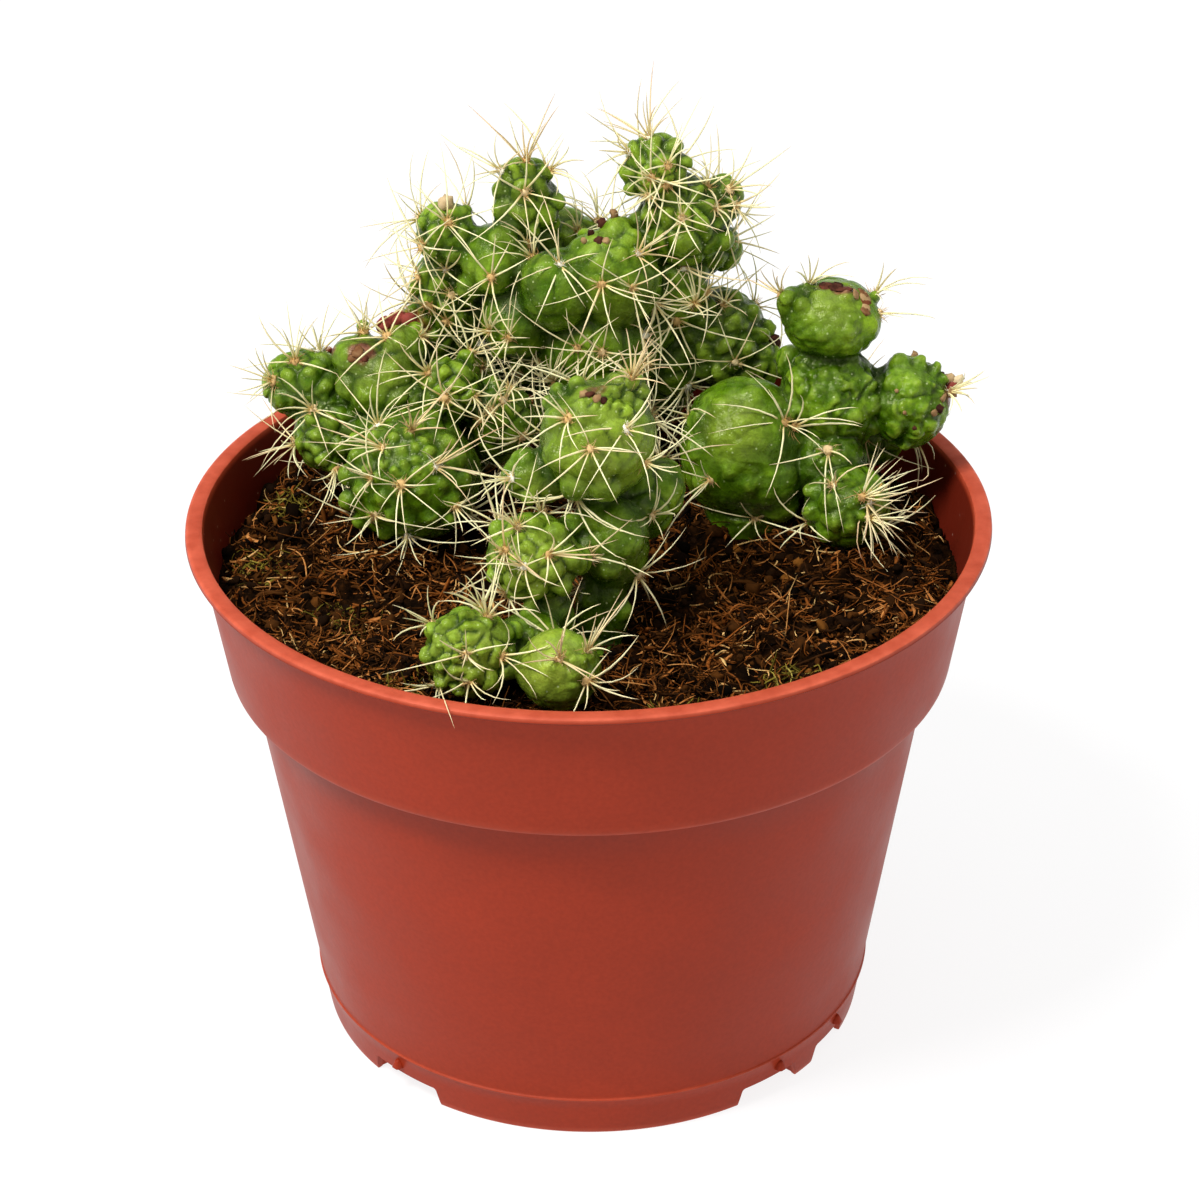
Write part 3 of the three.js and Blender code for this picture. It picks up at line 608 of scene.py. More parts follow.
# %% The table of lobes
SEEDS = {"back_stem": 11, "left_stem": 23, "front_stem": 37, "right_stem": 53}
ROOTS = {
    "back_stem": "1 31 8.5, -19.5 32 4.5",
    "left_stem": "-29 14 6.5",
    "front_stem": "2 -24 3.9, -6.5 -31.5 3.5",
    "right_stem": "26 13 7, 41.5 5.5 3.6",
}
LOBE_TABLES = {
    "back_stem": """
1 31 9  10.5 12  0 0 1  7 0.6 0.15 8.5 0;
2 29 24  11 12  0 -0.5 1  7 0.5 0.15 8.5 0;
4.1 25 36.8  7.8 9.2  0 -0.5 1  8.5 0.3 0.1 8.5 1;
-4.4 24 36  6.8 7.6  -0.2 -1 0.4  8.5 0.25 0.1 9 0;
-11.4 26 30  6.2 6.8  -0.3 -1 0.1  7 0.25 0.1 9 0;
-14.4 28 39.6  6.3 6.6  -0.2 -0.6 0.7  8 0.25 0.1 9 0;
-9.4 31 47.8  5.6 5.4  0 0 1  5.2 0.4 0.2 8 0;
-9.7 31 52.6  4.3 2.9  0 0 1  3.4 0.8 0.1 5 1;
-20 31.5 13.5  6 12.5  -0.1 0 1  5 0.7 0.2 6.5 0;
-23.4 31 30.6  5.3 9.8  0 0 1  4.8 0.6 0.2 6.5 0;
-22.5 30 43.4  5 5.6  -0.2 -0.3 1  3.6 0.5 0.15 6 1;
14.6 30 33  5.8 8  0 0 1  6 0.5 0.2 8 0;
15.7 30 45.4  7.6 7.3  0.3 -0.3 1  5 0.8 0.2 7 0;
21.6 31 48.6  3.8 3.9  1 0 0.4  3.8 0.9 0.1 6 1;
20.2 33 39.4  4.5 5.3  1 0.2 -0.3  4.5 0.7 0.2 7 0;
11.1 30 54.4  5.3 5.5  0 -0.2 1  4.8 0.8 0.15 6.5 1;
13 31 20  7 7.5  1 0 0.4  6 0.6 0.2 8 0;
21.8 32 23.4  8.4 7.6  0.5 -0.5 0.6  4.6 0.55 0.5 9 0;
-4 38 37  6.6 6.6  0 1 0.4  5 0.6 0.2 8 1;
8.5 39 30  7 7.6  0.2 1 0.2  5 0.6 0.2 8 0;
-10 40 18  7.4 8  -0.3 1 0.3  5.5 0.6 0.2 8 1;
11 43 10  6.6 7.2  0.3 1 0.6  5 0.6 0.2 8 1""",
    "left_stem": """
-30 19 11.5  9.4 11.5  0 0 1  6.5 0.6 0.2 8.5 0;
-28.1 9 10.3  10.8 10.5  0.1 -0.6 0.7  6 0.2 0.3 8 1;
-22.2 16 21.8  5.4 6  0.1 -0.5 1  4.2 0.9 0.15 7.5 1;
-14.4 17.5 15.4  5.9 8.2  0.3 -0.6 0.8  5.5 0.6 0.2 8 0;
-32.6 20 21.4  7 7.6  -0.2 -0.2 1  7.5 0.15 0.15 0 0;
-36 20 26  4.4 4  -0.4 -0.5 1  5 0.1 0.1 0 0;
-30 21 27  4.2 3.9  0.3 -0.2 1  5 0.1 0.1 0 0;
-45 23.5 19.6  5.9 8  -1 0 0.1  4.6 0.6 0.2 7.5 1;
-41.4 19 13  6.2 6.6  -0.5 -0.8 -0.1  4.2 0.6 0.25 8 1;
-38 28.5 10  6.6 7.4  -0.5 1 0.3  5 0.8 0.2 8 1""",
    "front_stem": """
-2 -27.5 -2  7.4 3.6  0 0 1  5 0.4 0.2 0 0;
2 -24 4.2  4.2 7  0 0 1  5 0.3 0.3 0 0;
3.7 -22 14.4  5.8 8  0 0 1  6.5 0.15 0.2 9 0;
8.6 -15.5 18.6  5.2 7.6  0.6 0.5 0.5  6 0.6 0.2 8.5 0;
1.5 -20 31.4  9 9.4  0 -0.35 1  8 0.25 0.1 9 1;
5.6 -18 38.4  3.4 3.4  0.2 0 1  2.6 0.8 0.1 6 1;
-7.4 -20.5 25.6  4.4 6  -1 -0.3 0.2  6.5 0.3 0.15 8 0;
2 -13 25  6.6 8  0 1 0.4  6 0.6 0.2 8 0;
-8.3 -28 15.8  7 7  -0.1 -0.8 0.7  4.6 0.4 0.1 8.5 1;
-5.8 -30.5 5.6  3.8 7.4  0 0 1  5 0.3 0.3 0 0;
-8.8 -36.6 5  5.6 5.2  -0.3 -1 0.3  5 0.3 0.2 9 0;
-17.5 -42 7.7  6.8 6.8  -0.7 -0.6 0.4  3.3 0.6 0.1 8.5 1;
-4.4 -45.6 6.7  6.2 6  0.2 -0.4 0.9  6 0.2 0.15 9 1""",
    "right_stem": """
25.2 13.5 12.2  10.6 12  -0.1 -0.2 1  6.5 0.05 0.3 0 0;
37.5 11 11  6.6 8  0.5 -0.4 0.2  5.5 0.1 0.6 0 0;
39.2 15.5 20  8.3 9.6  0 0 1  5 0.25 1 0 0;
38.8 17.5 33.5  8 6.1  0.1 -0.1 1  6 0.1 0.5 0 0;
33 16.5 36.6  2.8 2.6  -0.8 -0.4 0.6  4 0.1 0.2 0 1;
51.4 15.5 19.6  7.8 6.9  1 -0.1 0.1  5 0.2 0.8 0 0;
41.2 4 7.2  6.9 7  0.8 -0.5 0.3  5 0.4 0.3 8 1;
33 25 8.5  7 7.6  0 1 0.4  5 0.6 0.3 7.5 1;
46.5 23.5 10.5  6 6.4  0.7 0.8 0.3  4.6 0.6 0.3 7.5 1""",
}

# %% [markdown]
# ## Lumps and spine stars
# On the lobes sit smaller lumps: each is a ball, half sunk into its lobe, with its centre and
# radius given here in tenths of a millimetre. A star is an areole's place, then the tips of its
# spines as steps from that place, also in tenths. An areole with no tips gets a star by rule.

# %% Tables of lumps and stars
LUMPS = {
    "back_stem": """
-257 276 1261 14, -194 294 1270 16, -222 266 1264 14, -238 261 1252 14, -202 272 1245 21,
-247 268 1225 21, -210 270 1217 24, -186 279 1251 13, -138 265 1227 38, -146 247 1188 38,
-188 259 1160 26, -128 302 1340 14, -111 296 1346 14, -92 298 1345 18, -71 295 1340 14,
-61 295 1333 11, -134 299 1304 18, -105 280 1315 18, -73 288 1311 18, -48 294 1287 18,
-134 283 1280 18, -102 269 1280 19, -65 277 1273 21, -118 273 1253 14, -85 269 1254 16,
-53 284 1258 14, -273 286 1143 13, -253 269 1130 13, -229 266 1120 15, -264 274 1092 15,
-284 294 1097 13, -219 267 1095 15, -196 282 1123 15, -235 272 1155 13, -206 272 1100 13,
-247 269 1071 15, -261 284 1167 11, -66 217 1187 43, 22 236 1198 63, -107 234 1123 35,
21 245 1089 61, 110 257 1070 32, -2 269 1240 14, 19 388 1200 15, -10 244 1237 10, 13 231 1249 10,
51 262 1251 24, 73 240 1245 18, 87 288 1379 21, 112 284 1387 17, 137 286 1379 19, 156 282 1356 14,
71 279 1348 19, 102 264 1361 17, 130 262 1350 16, 75 274 1325 18, 99 260 1331 16, 110 264 1317 19,
130 261 1318 11, 156 278 1314 19, 182 275 1313 13, 208 290 1301 16, 227 288 1292 18,
194 260 1294 14, 217 270 1274 16, 110 265 1275 24, 86 283 1252 21, 154 242 1247 24,
184 246 1272 18, 217 267 1235 21, 130 250 1285 16, 102 258 1237 16, 200 282 1114 13,
242 320 1107 13, 183 267 1095 13, 203 262 1073 15, 240 277 1086 13, 269 306 1087 13,
282 288 1054 15, 296 316 1053 13, 224 257 1051 19, 257 262 1039 16, 191 257 1042 19,
216 255 1011 23, 167 270 1063 15, 167 264 1039 16, 296 300 1017 15, 257 263 999 16,
175 262 1000 16, -181 315 1086 39, -192 312 1038 33, -253 295 1024 33, 286 289 1004 36,
-240 274 1047 15, -176 306 1031 15, -165 292 998 15, -140 214 1066 15, -124 202 1080 13""",
    "left_stem": """
-276 223 1098 13, -226 136 1062 16, -219 125 1037 22, -196 179 1065 16, -190 126 1034 14,
-224 118 1017 19, -152 179 1020 16, -360 229 1101 13, -373 198 1063 37, -308 200 1083 29,
-312 163 1056 21, -381 174 1023 24, -351 150 1022 19, -309 156 1012 30, -268 142 1009 21,
-251 97 1000 19, -429 223 1035 24, -424 199 1011 21, -447 203 1031 16, -480 204 1024 19,
-510 203 999 15, -496 196 992 16, -517 208 1011 10, -421 186 983 21, -392 191 981 21,
-375 168 969 16, -410 155 967 18, -444 159 970 13, -434 144 951 16, -456 149 934 16,
-429 137 918 18, -400 143 933 21, -383 155 950 19, -416 135 906 15, -370 97 965 14,
-312 32 977 14, -333 38 974 13, -320 18 961 13, -328 15 941 16, -303 7 958 8, -288 12 967 9,
-272 15 972 8, -291 27 982 9, -272 30 984 9, -260 40 988 11, -252 29 976 13, -249 18 955 16,
-267 5 955 9, -304 47 990 14, -280 50 994 14, -337 66 984 16, -362 60 957 17, -379 58 923 19,
-358 25 913 16, -347 27 948 13, -321 3 912 17, -293 -1 926 16, -265 0 922 17, -234 9 931 14,
-219 13 900 16, -338 11 875 17, -309 -3 883 16, -282 -3 873 19, -251 1 880 19, -223 14 867 16,
-380 52 881 16, -365 47 847 14, -324 13 843 14, -211 48 953 21, -203 35 924 19, -226 57 975 19""",
    "front_stem": """
38 -213 1201 12, 23 -216 1205 9, 7 -233 1200 7, 17 -240 1197 7, 30 -242 1195 7, 45 -240 1192 7,
57 -197 1205 12, 73 -194 1203 10, 82 -194 1190 12, 63 -211 1192 10, 58 -237 1179 15,
75 -219 1179 12, -14 -190 1199 18, -40 -182 1185 18, -55 -190 1172 15, -5 -237 1192 12,
-40 -230 1163 25, -3 -249 1172 22, 37 -256 1155 25, 4 -261 1120 35, -40 -250 1115 30,
49 -263 1112 29, -18 -258 1068 27, 26 -263 1071 30, -93 -211 1083 27, -104 -230 1063 21,
-86 -237 1041 18, 18 -220 988 39, 56 -247 960 30, 3 -240 956 30, 79 -199 993 21, -27 -243 992 21,
-20 -293 960 24, 33 -260 932 24, 36 -248 882 23, 2 -258 868 20, 48 -258 853 18, -134 -276 1003 15,
-108 -294 1018 12, -81 -292 1020 15, -98 -317 1011 9, -78 -317 1014 7, -89 -327 1003 9,
-49 -293 1006 19, -66 -326 999 12, -126 -314 993 12, -131 -322 975 12, -110 -333 983 12,
-139 -317 949 13, -86 -339 978 13, -57 -331 965 18, -113 -337 951 13, -31 -312 971 18,
-79 -337 934 16, -42 -326 936 15, -109 -333 927 13, -58 -324 892 16, -87 -343 900 15,
-225 -428 916 16, -207 -436 932 10, -233 -447 888 15, -208 -461 913 10, -217 -458 912 7,
-196 -459 922 10, -190 -469 914 10, -211 -472 900 6, -193 -475 899 12, -214 -470 885 12,
-197 -480 882 10, -212 -469 858 15, -190 -477 849 13, -173 -480 877 15, -149 -471 861 19,
-158 -470 908 13, -141 -461 904 15, -154 -439 924 22, -183 -430 941 12, -176 -450 934 10,
-175 -464 925 7, -114 -411 905 18, -123 -453 869 19, -49 -502 897 9, -33 -488 911 9,
-23 -493 905 7, -12 -487 901 10, -24 -501 886 13, -1 -474 900 10, -1 -493 874 12, -23 -509 871 9""",
    "right_stem": """
291 83 903 57, 305 80 860 37, 179 111 989 24, 218 100 1012 24, 266 111 1020 27, 210 70 974 24,
249 72 999 21, 179 82 950 24, 273 67 971 28, 226 51 930 24, 187 67 903 21, 257 47 913 24,
314 69 916 27, 330 89 963 19, 326 190 1052 26, 348 143 1067 22, 417 131 1072 22, 443 120 1046 19,
339 135 1050 22, 377 114 1062 19, 408 104 1049 19, 450 113 1017 21, 392 91 1029 17,
361 100 1037 16, 338 107 1005 19, 377 87 999 17, 417 90 1006 19, 454 111 977 16, 410 90 961 18,
362 83 956 18, 319 151 1182 14, 347 168 1188 13, 341 139 1174 13, 407 117 1142 21,
370 112 1138 17, 444 131 1142 14, 457 188 1164 10, 368 150 1179 17, 408 150 1178 17,
499 154 1062 22, 531 154 1067 14, 555 155 1056 13, 570 147 1040 10, 486 123 1042 21,
520 113 1047 16, 544 117 1043 14, 561 118 1030 11, 496 99 1017 19, 531 97 1017 18, 493 96 983 21,
521 91 978 18, 545 93 986 13, 507 97 950 14, 559 104 1007 11, 355 29 900 16, 382 1 901 17,
355 13 873 17, 390 -10 871 21, 421 -5 904 17, 413 -17 866 17, 429 -17 883 14, 375 -6 843 14,
403 15 929 13, 438 -10 911 11, 439 -23 879 9""",
}
STARS = {
    "back_stem": """
22 170 1198: -102 -46 -14, -36 -68 -69, 30 -68 -70, 87 -41 -14, 93 -15 53, 20 1 81, -51 -24 51;
-43 199 1223: -85 -45 -21, -40 -73 -74, 42 -53 -53, 64 -28 30, -74 -2 90, 0 -25 72;
-87 242 1218: -87 -65 19, -36 -81 -62, -40 -34 55, 30 -32 62, 22 8 93;
-89 265 1229: -28 -32 69, -47 -35 48, 13 -33 58, 35 -49 31, -23 -56 31;
84 209 1237: 92 -18 46, 68 -34 0, 13 -66 -35, 29 5 80, -31 -59 10;
150 230 1287: -57 -46 -31, -29 -54 -59, -16 -55 -52, 31 -61 -34, 69 -39 -8, 29 -34 61, -7 -36 57;
208 256 1292: 67 -32 16, 23 -64 -3, 35 -44 39, -19 -65 -6, -28 -51 36, 19 -64 -36;
76 174 1189: 35 -60 -60, 40 -54 13, -29 -48 38, 9 -40 55, 24 -69 -21;
113 223 1140: 53 -81 -77, -28 -56 -43, 68 -20 30, 103 -42 0, 17 -33 57;
175 247 1130: -58 -39 29, -52 -35 43, -45 -24 56, -32 -12 68, -17 -21 85, -4 -29 98, 9 -6 75,
    19 -39 62, 27 -44 44, -59 -45 17, -33 -57 15, 40 -64 10, -14 -30 69, 11 -67 5, -75 -56 32;
223 290 1110: -29 -69 -13, 26 -55 31, 20 -36 54, 1 -31 69, -25 -42 47, 36 -58 4, -15 -30 59;
295 296 1005: -15 -37 71, 34 -39 44, -28 -60 14;
-124 190 1100: -29 -35 50, 21 -36 54, 34 -54 24, -6 -75 -13, -33 -59 6, 5 -19 73;
-159 207 1102: -38 -47 46, -25 -30 65, -6 -26 71, 11 -21 72, 32 -30 62, 44 -46 42, 26 -63 -3,
    -15 -66 -8, -39 -65 6, -55 -47 24, 17 -39 53, 1 -32 60;
-58 216 1005: -33 -41 54, -24 -21 69, 4 -21 87, 23 -44 94, 38 -49 88, 70 -62 104, -56 -21 66,
    -74 -11 43, -66 -22 31, 37 -53 123, 84 -73 79, -9 -35 67, 15 -28 69, 55 -53 74, -36 -23 79;
-200 274 1031: -53 -37 40, -29 -36 60, 0 -40 55, 31 -46 39, 60 -73 38, -37 -56 9;
-170 276 1004: -19 -48 44, 29 -47 40, 48 -57 16, -4 -68 -3, 17 -64 62;
-226 273 1182: -39 -56 66, -60 -53 80, -60 -46 8, 15 -58 66, 27 -48 49, -20 -72 -14, 41 -64 -4;
-152 214 1192: -66 -1 90, 64 -12 43, 41 -73 -76, -85 -54 -30, 33 -5 68, -35 -58 6;
-132 294 1343: -70 -12 47, -6 -19 73, -23 -39 51, -44 -60 16, -62 -40 -16;
-94 295 1356: -4 -17 74, -18 -40 62, 15 -34 66, 24 -46 44;
-59 297 1341: 33 -38 57, 58 -37 31, 17 -41 52, 42 -53 9, 12 -65 -16;
101 286 1399: -9 -22 72, 13 -30 69, -23 -41 60, 30 -44 54;
72 279 1379: -46 -42 44, -31 -28 63, -40 -55 4, -51 -51 24, -18 -46 47;
128 252 1368: 25 -3 72, 46 -8 64, -42 -32 54, -19 -42 50, 35 -39 43, -43 -52 9;
104 245 1348: -47 -52 29, -28 -40 48, -42 -63 4, 12 -66 -9;
102 252 1317: -35 -58 -4, -56 -40 33, 78 -31 -1, -35 -37 45, 11 -72 -22;
195 287 1319: 2 6 87, -15 -35 56, -31 -43 43, 20 -40 61;
231 284 1314: 33 -5 73, -1 -16 74, 22 -45 46, 64 -37 18, 47 -59 10;
237 275 1288: 62 -41 15, 34 -67 -11, 14 -66 -6, 50 -49 29;
19 387 1204: -1 -8 76, -29 7 97, 23 -29 67, -53 -8 64, -16 -17 72, 39 -37 54;
-14 338 1217: -28 -58 72, -9 -27 70, -44 -81 52, 7 -31 69, -17 -43 50;
105 274 930: 78 -30 19, 25 -67 -26, -20 -95 97, 32 -48 46, 12 -66 -8, 53 -54 -6;
-187 311 1272:; -216 261 1142:; -257 260 1125:; -267 280 1168:; -228 254 1098:; 128 248 1334:;
158 258 1188:; -262 266 1068:; -80 237 1033:; -15 184 1079:; 24 178 1078:; 98 207 1039:;
-112 319 971:; 196 266 1141:; 144 244 1099:; 95 215 1090:; -179 296 1041:""",
    "left_stem": """
-122 154 1029: -30 -7 69, -32 -60 3, 7 -75 -13, 25 -63 -6, 66 -37 -9, 21 -32 56, -28 -51 34,
    41 -41 36;
-265 212 1093: -31 -44 42, -12 -35 57, 18 -39 53, 32 -48 36, 27 -62 1, 6 -66 -15, -24 -64 5;
-179 122 1030: -18 -35 55, -37 -53 21, -39 -60 -27, 12 -67 -35, 35 -65 -18, 27 -35 51, 49 -49 30;
-158 118 1003: -31 -68 -15, 20 -72 -13, 36 -56 14, 18 -42 51, -20 -45 47;
-105 118 956: -67 -29 22, -63 -38 16, -34 -25 73, 37 -28 60, -67 -38 -5, 14 -22 71;
-323 31 985: -72 -30 21, -63 -27 34, -70 -34 11, -48 -59 4, -41 -2 72, 28 -35 61, 0 -74 -18,
    46 -43 27;
-342 8 945: -53 -54 9, -41 -43 48, 28 -62 -7, -30 -67 -19, -10 -35 57;
-293 -11 942: -5 -83 -78, 89 -64 -48, 58 -44 23, -44 -55 29, -31 -69 -11, -30 -36 49;
-239 9 962: 49 1 69, 66 -38 3, 100 -36 -5, 35 -67 -4, -32 -69 1, -22 -40 50;
-254 138 1064: -43 -11 62, -100 -39 11, -81 -39 -5, 43 7 72, -9 -24 71, 52 -28 48, -73 -75 -57,
    -25 -35 52;
-336 90 998: 20 18 125, -2 -12 75, 56 -3 56, -34 -40 43, -12 -67 -5, 34 -56 19;
-279 48 1003: -4 -30 61, 35 -32 59, 59 -10 47, -16 -48 45, 60 -39 26, 43 -43 46, 18 -34 56;
-338 -3 882: -59 -42 24, -54 -30 45, -47 -54 -25, -19 -73 -5, -29 -35 61, 9 -67 -4, 36 -55 18;
-211 5 895: -30 -43 43, 51 -42 38, 44 -60 -14, 14 -65 -13, 26 -38 50;
-444 169 985: -51 -9 62, -53 -33 44, -56 -47 21, -89 -99 -70, -80 -89 -63, -52 -54 -10,
    32 -80 -47, 76 -36 1, 101 -102 11, -10 -40 54, 7 -33 68;
-470 210 1052: -55 -1 82, -40 -5 71, -10 11 102, -17 -25 70, 22 -17 71, 40 3 75;
-509 198 1021: -64 -22 40, -52 -55 8, -45 -52 32, -21 -21 70, -33 -35 59, -38 -65 -10, -9 -29 70,
    -29 -70 2;
-434 239 1056: 21 11 81, 42 2 74, -25 -42 58, -6 -31 60, 17 -38 54;
-357 216 1100: -9 -7 75, 13 1 75, -20 -37 63, 27 -30 65, 5 -31 69;
-468 148 933: 20 -68 -26, -10 -70 -27, -59 -47 10, -34 -68 -3, -19 -55 35, 8 -66 -13;
-410 128 902: -21 -72 -9, -3 -71 -28, 21 -68 -26, -31 -60 6, 34 -123 28, -12 -66 -36;
-287 2 834: -41 -64 7, -17 -76 -21, 25 -71 -6, 50 -56 9, -9 -67 1;
-225 104 1037:; -318 190 1102:; -135 125 1020:; -175 122 986:""",
    "front_stem": """
-113 -243 1072: -49 7 83, -83 -33 4, -91 -22 33, -45 -61 -3, -16 -66 -34, 26 -35 62, -45 -56 24;
-29 -255 1179: -69 -29 15, -67 -4 54, 46 -53 30, -11 -62 -61, 19 -71 -21, -71 -51 -33, -27 -37 61;
61 -266 1166: -98 -35 3, -71 -84 -72, 31 -82 -77, 76 -37 -12, 58 -38 31, 32 -34 60;
6 -289 1144: -85 -43 -15, -28 -61 -47, 39 -64 -58, 66 -36 13;
-23 -244 1040: -101 -24 30, -91 -31 9, -5 -74 -16, -18 -66 3, 92 -57 -31, 114 -67 -33, 80 -81 -63,
    48 -53 26;
97 -211 990: -72 -66 45, 5 5 76, 38 -3 66, 43 -44 45, 32 -54 27, -19 -64 15, 16 -66 -6, 12 -26 61;
90 -254 1101: 47 -54 26, 44 -60 17, 11 -27 70, 35 -35 57, -34 -35 58, 20 -65 4;
-104 -302 1024: -69 -44 -9, 31 18 112, 49 -56 15, -28 -37 60, 5 -74 -17, -12 -20 72, -45 -39 48,
    42 -39 50;
-59 -337 996: 81 -30 0, 54 -3 56, 34 -64 -46, -5 -74 -16, 1 -37 57, 40 -41 37;
-94 -348 981: -75 -28 20, -13 -70 -26, 23 -58 -44, 56 -51 -7, 32 -45 40, -18 -27 69, -30 -40 46;
-125 -326 995: -30 -58 17, -13 -71 -23, -18 -42 50, -7 -67 -8;
-147 -425 942: -24 -26 67, -8 -19 73, 19 4 73, 15 18 90, -71 -19 35, -46 -24 56, 27 -40 48,
    78 -25 18, -16 -29 59;
-159 -389 939: -30 -37 60, -21 -29 67, 2 -20 73, -42 -43 47, 20 -30 67;
-123 -330 923: 56 -75 -19, 51 -50 28, -13 -32 59, -37 -13 65, 11 -39 54;
-125 -467 896: -23 -71 -15, 50 -54 -41, 69 -54 -4, 68 -17 30, -1 -17 74;
-177 -483 911: 41 -63 9, 28 -62 6, 0 -31 60, -5 -66 14, -37 -36 45;
-174 -490 866: -4 -67 -8, -6 -48 48, 26 -62 9;
-224 -452 837: -70 -33 12, -51 -44 34, 28 -69 -28, -17 -49 44, 7 -67 -7;
-232 -405 917: -1 -16 74, -54 -25 47, -39 -43 35, -53 -54 3, -13 -65 17, -39 -40 52, 16 -32 58;
-1 -474 909: 72 -16 34, 24 -21 69, 34 -52 29, 12 -32 59, -18 -32 57;
-1 -502 875: 73 -17 33, 74 -43 -6, 30 -27 64, -6 -67 -9, 46 -57 18;
-44 -499 912: -42 -32 55, -51 -52 23, -18 -39 53, 12 -33 58;
-67 -251 1023: -6 -40 55, 11 -66 10, -33 -54 26, 15 -45 49;
68 -196 1214: -9 4 80, 10 -21 72, 43 -8 62, 30 1 73, -34 -46 36, -42 -52 14, 19 -37 64, 44 -39 48,
    58 -36 33, -21 -36 63, 1 -32 69, 33 -34 59, 52 -53 14, -47 -36 47;
-133 -260 1007:; -16 -242 881:""",
    "right_stem": """
313 77 1000: 0 16 113, -64 9 87, -117 -17 42, -124 -53 8, -34 -90 -87, 63 -51 -32, -29 -18 68,
    120 -46 18;
329 87 989: 96 -46 54, 103 -45 20, 5 -30 70, 36 -66 9;
381 57 961: -95 -34 -8, -4 -109 -94, 34 -59 4, 20 -117 -88;
385 5 928: -41 -49 24, -35 -29 61, 3 -47 49, 62 -16 43, 10 -67 1;
434 -15 913: 20 13 91, 37 -1 68, 59 0 73, 68 -10 50, 66 -23 31, 82 -19 42, 50 -13 55, 23 3 73,
    72 -29 25, 60 -43 18, 31 9 84, 44 -37 50;
441 -25 882: 58 -13 48, 62 -30 32, 60 -41 22, 75 -40 9, 51 -56 6, 45 -59 -43, 22 -66 -30,
    4 -66 -37, 10 -75 -7, 37 -66 -3, 65 -32 22, 29 -60 11, -14 -65 -12;
192 46 912: -81 -9 39, -74 -75 -62, -80 -51 -32, -15 -35 57, -31 -60 -1;
265 78 823: -109 -27 52, -23 -59 65, 69 -37 74, -47 -57 -18, 13 -67 0, 120 -105 18;
346 27 844: -52 2 66, 3 -40 70, -44 -61 -12, -55 -53 2, -8 -67 -1, 35 -73 7;
158 140 983: 44 -101 45, -43 -41 33, -2 -74 -18, -24 -72 -8, -35 -57 11, 21 -36 54;
311 156 1184: -12 -41 53, -39 -27 59, -20 -35 64, 7 -33 68;
352 179 1193: -17 -36 55, -5 -36 67, 12 -31 60, 33 -48 35, 71 -28 24, -25 -46 43, 63 -18 46;
456 191 1165: 91 -26 42, 80 -25 31, 12 -24 71, 39 -49 27, 11 -65 17, 33 -29 62;
465 163 1150: 84 -37 6, 34 -56 17;
580 144 1021: 17 -40 52, 50 -29 50, 28 -49 39, 58 -29 39, 38 -49 28, 33 -59 5, 12 -67 -5,
    -10 -66 -10, 24 -60 21;
444 -18 902:""",
}


def rows_of(text, mark, parts=1):
    """The rows of a table written as text; its numbers are in so many parts of a millimetre."""
    rows = [row.split() for row in text.replace("\n", " ").split(mark)]
    return [[float(number) / parts for number in row] for row in rows if row]


def star_rows(text):
    """Each areole's place and its spines' tips."""
    found = []
    for row in text.split(";"):
        at, _, tips = row.partition(":")
        place = np.array(rows_of(at, ",", 10)[0])
        found.append((place, [place + step for step in rows_of(tips, ",", 10)]))
    return found


def lobe_rows(text):
    """Each lobe's centre, size and facing, then what its skin is like."""
    return [(row[:3], row[3:5], row[5:8], row[8:]) for row in rows_of(text, ";")]


LOBES = {name: lobe_rows(text) for name, text in LOBE_TABLES.items()}
BALLS = {name: rows_of(text, ",", 10) for name, text in LUMPS.items()}
print("lobes:", sum(map(len, LOBES.values())), "lumps:", sum(map(len, BALLS.values())))

# %% [markdown]
# ## The potting mix
# The mix is peat with coir: dark, crumbly and full of curled shreds. A displaced disc gives
# the lie of the land, and thousands of small loose pieces on it give what the eye reads as
# peat. Each kind of piece is modelled once, with a few dozen faces, and copied with its own
# bend, size and tone. A pattern alone can't do this, because shreds stand up and cast
# shadows on each other.

# %% Templates: one strand, one ribbon, one crumb
def read_out(piece):
    """A template's points and triangles as arrays; its object goes."""
    edit(piece)
    bpy.ops.mesh.quads_convert_to_tris()
    bpy.ops.mesh.normals_make_consistent(inside=False)
    deselect()
    places = points_of(piece)
    faces = np.array([list(face.vertices) for face in piece.data.polygons])
    bpy.data.objects.remove(piece)
    return places, faces


def strand_template(sides, *rings):
    """A closed tube from z 0 to 1; a ring is (height, radius)."""
    rings = [(radius, height) for height, radius in rings]
    deselect()
    bpy.ops.mesh.primitive_circle_add(
        vertices=sides, radius=rings[0][0], fill_type="NGON", location=(0, 0, rings[0][1])
    )
    made = bpy.context.object
    edit(made)
    extrude_rings(rings)
    return read_out(made)


RIBBON_FLATNESS = 0.16
FIBRE = strand_template(
    3, (0, 0.6), (0.17, 1), (0.34, 1), (0.5, 0.95), (0.67, 0.9), (0.84, 0.7), (1, 0.25)
)
places, faces = strand_template(
    4, (0, 0.35), (0.2, 0.95), (0.45, 1), (0.7, 0.85), (0.88, 0.55), (1, 0.15)
)
RIBBON = (places * [1, RIBBON_FLATNESS, 1], faces)
deselect()
bpy.ops.mesh.primitive_ico_sphere_add(subdivisions=2, radius=1)
CRUMB = read_out(bpy.context.object)
print("template faces:", len(FIBRE[1]), len(RIBBON[1]), len(CRUMB[1]))


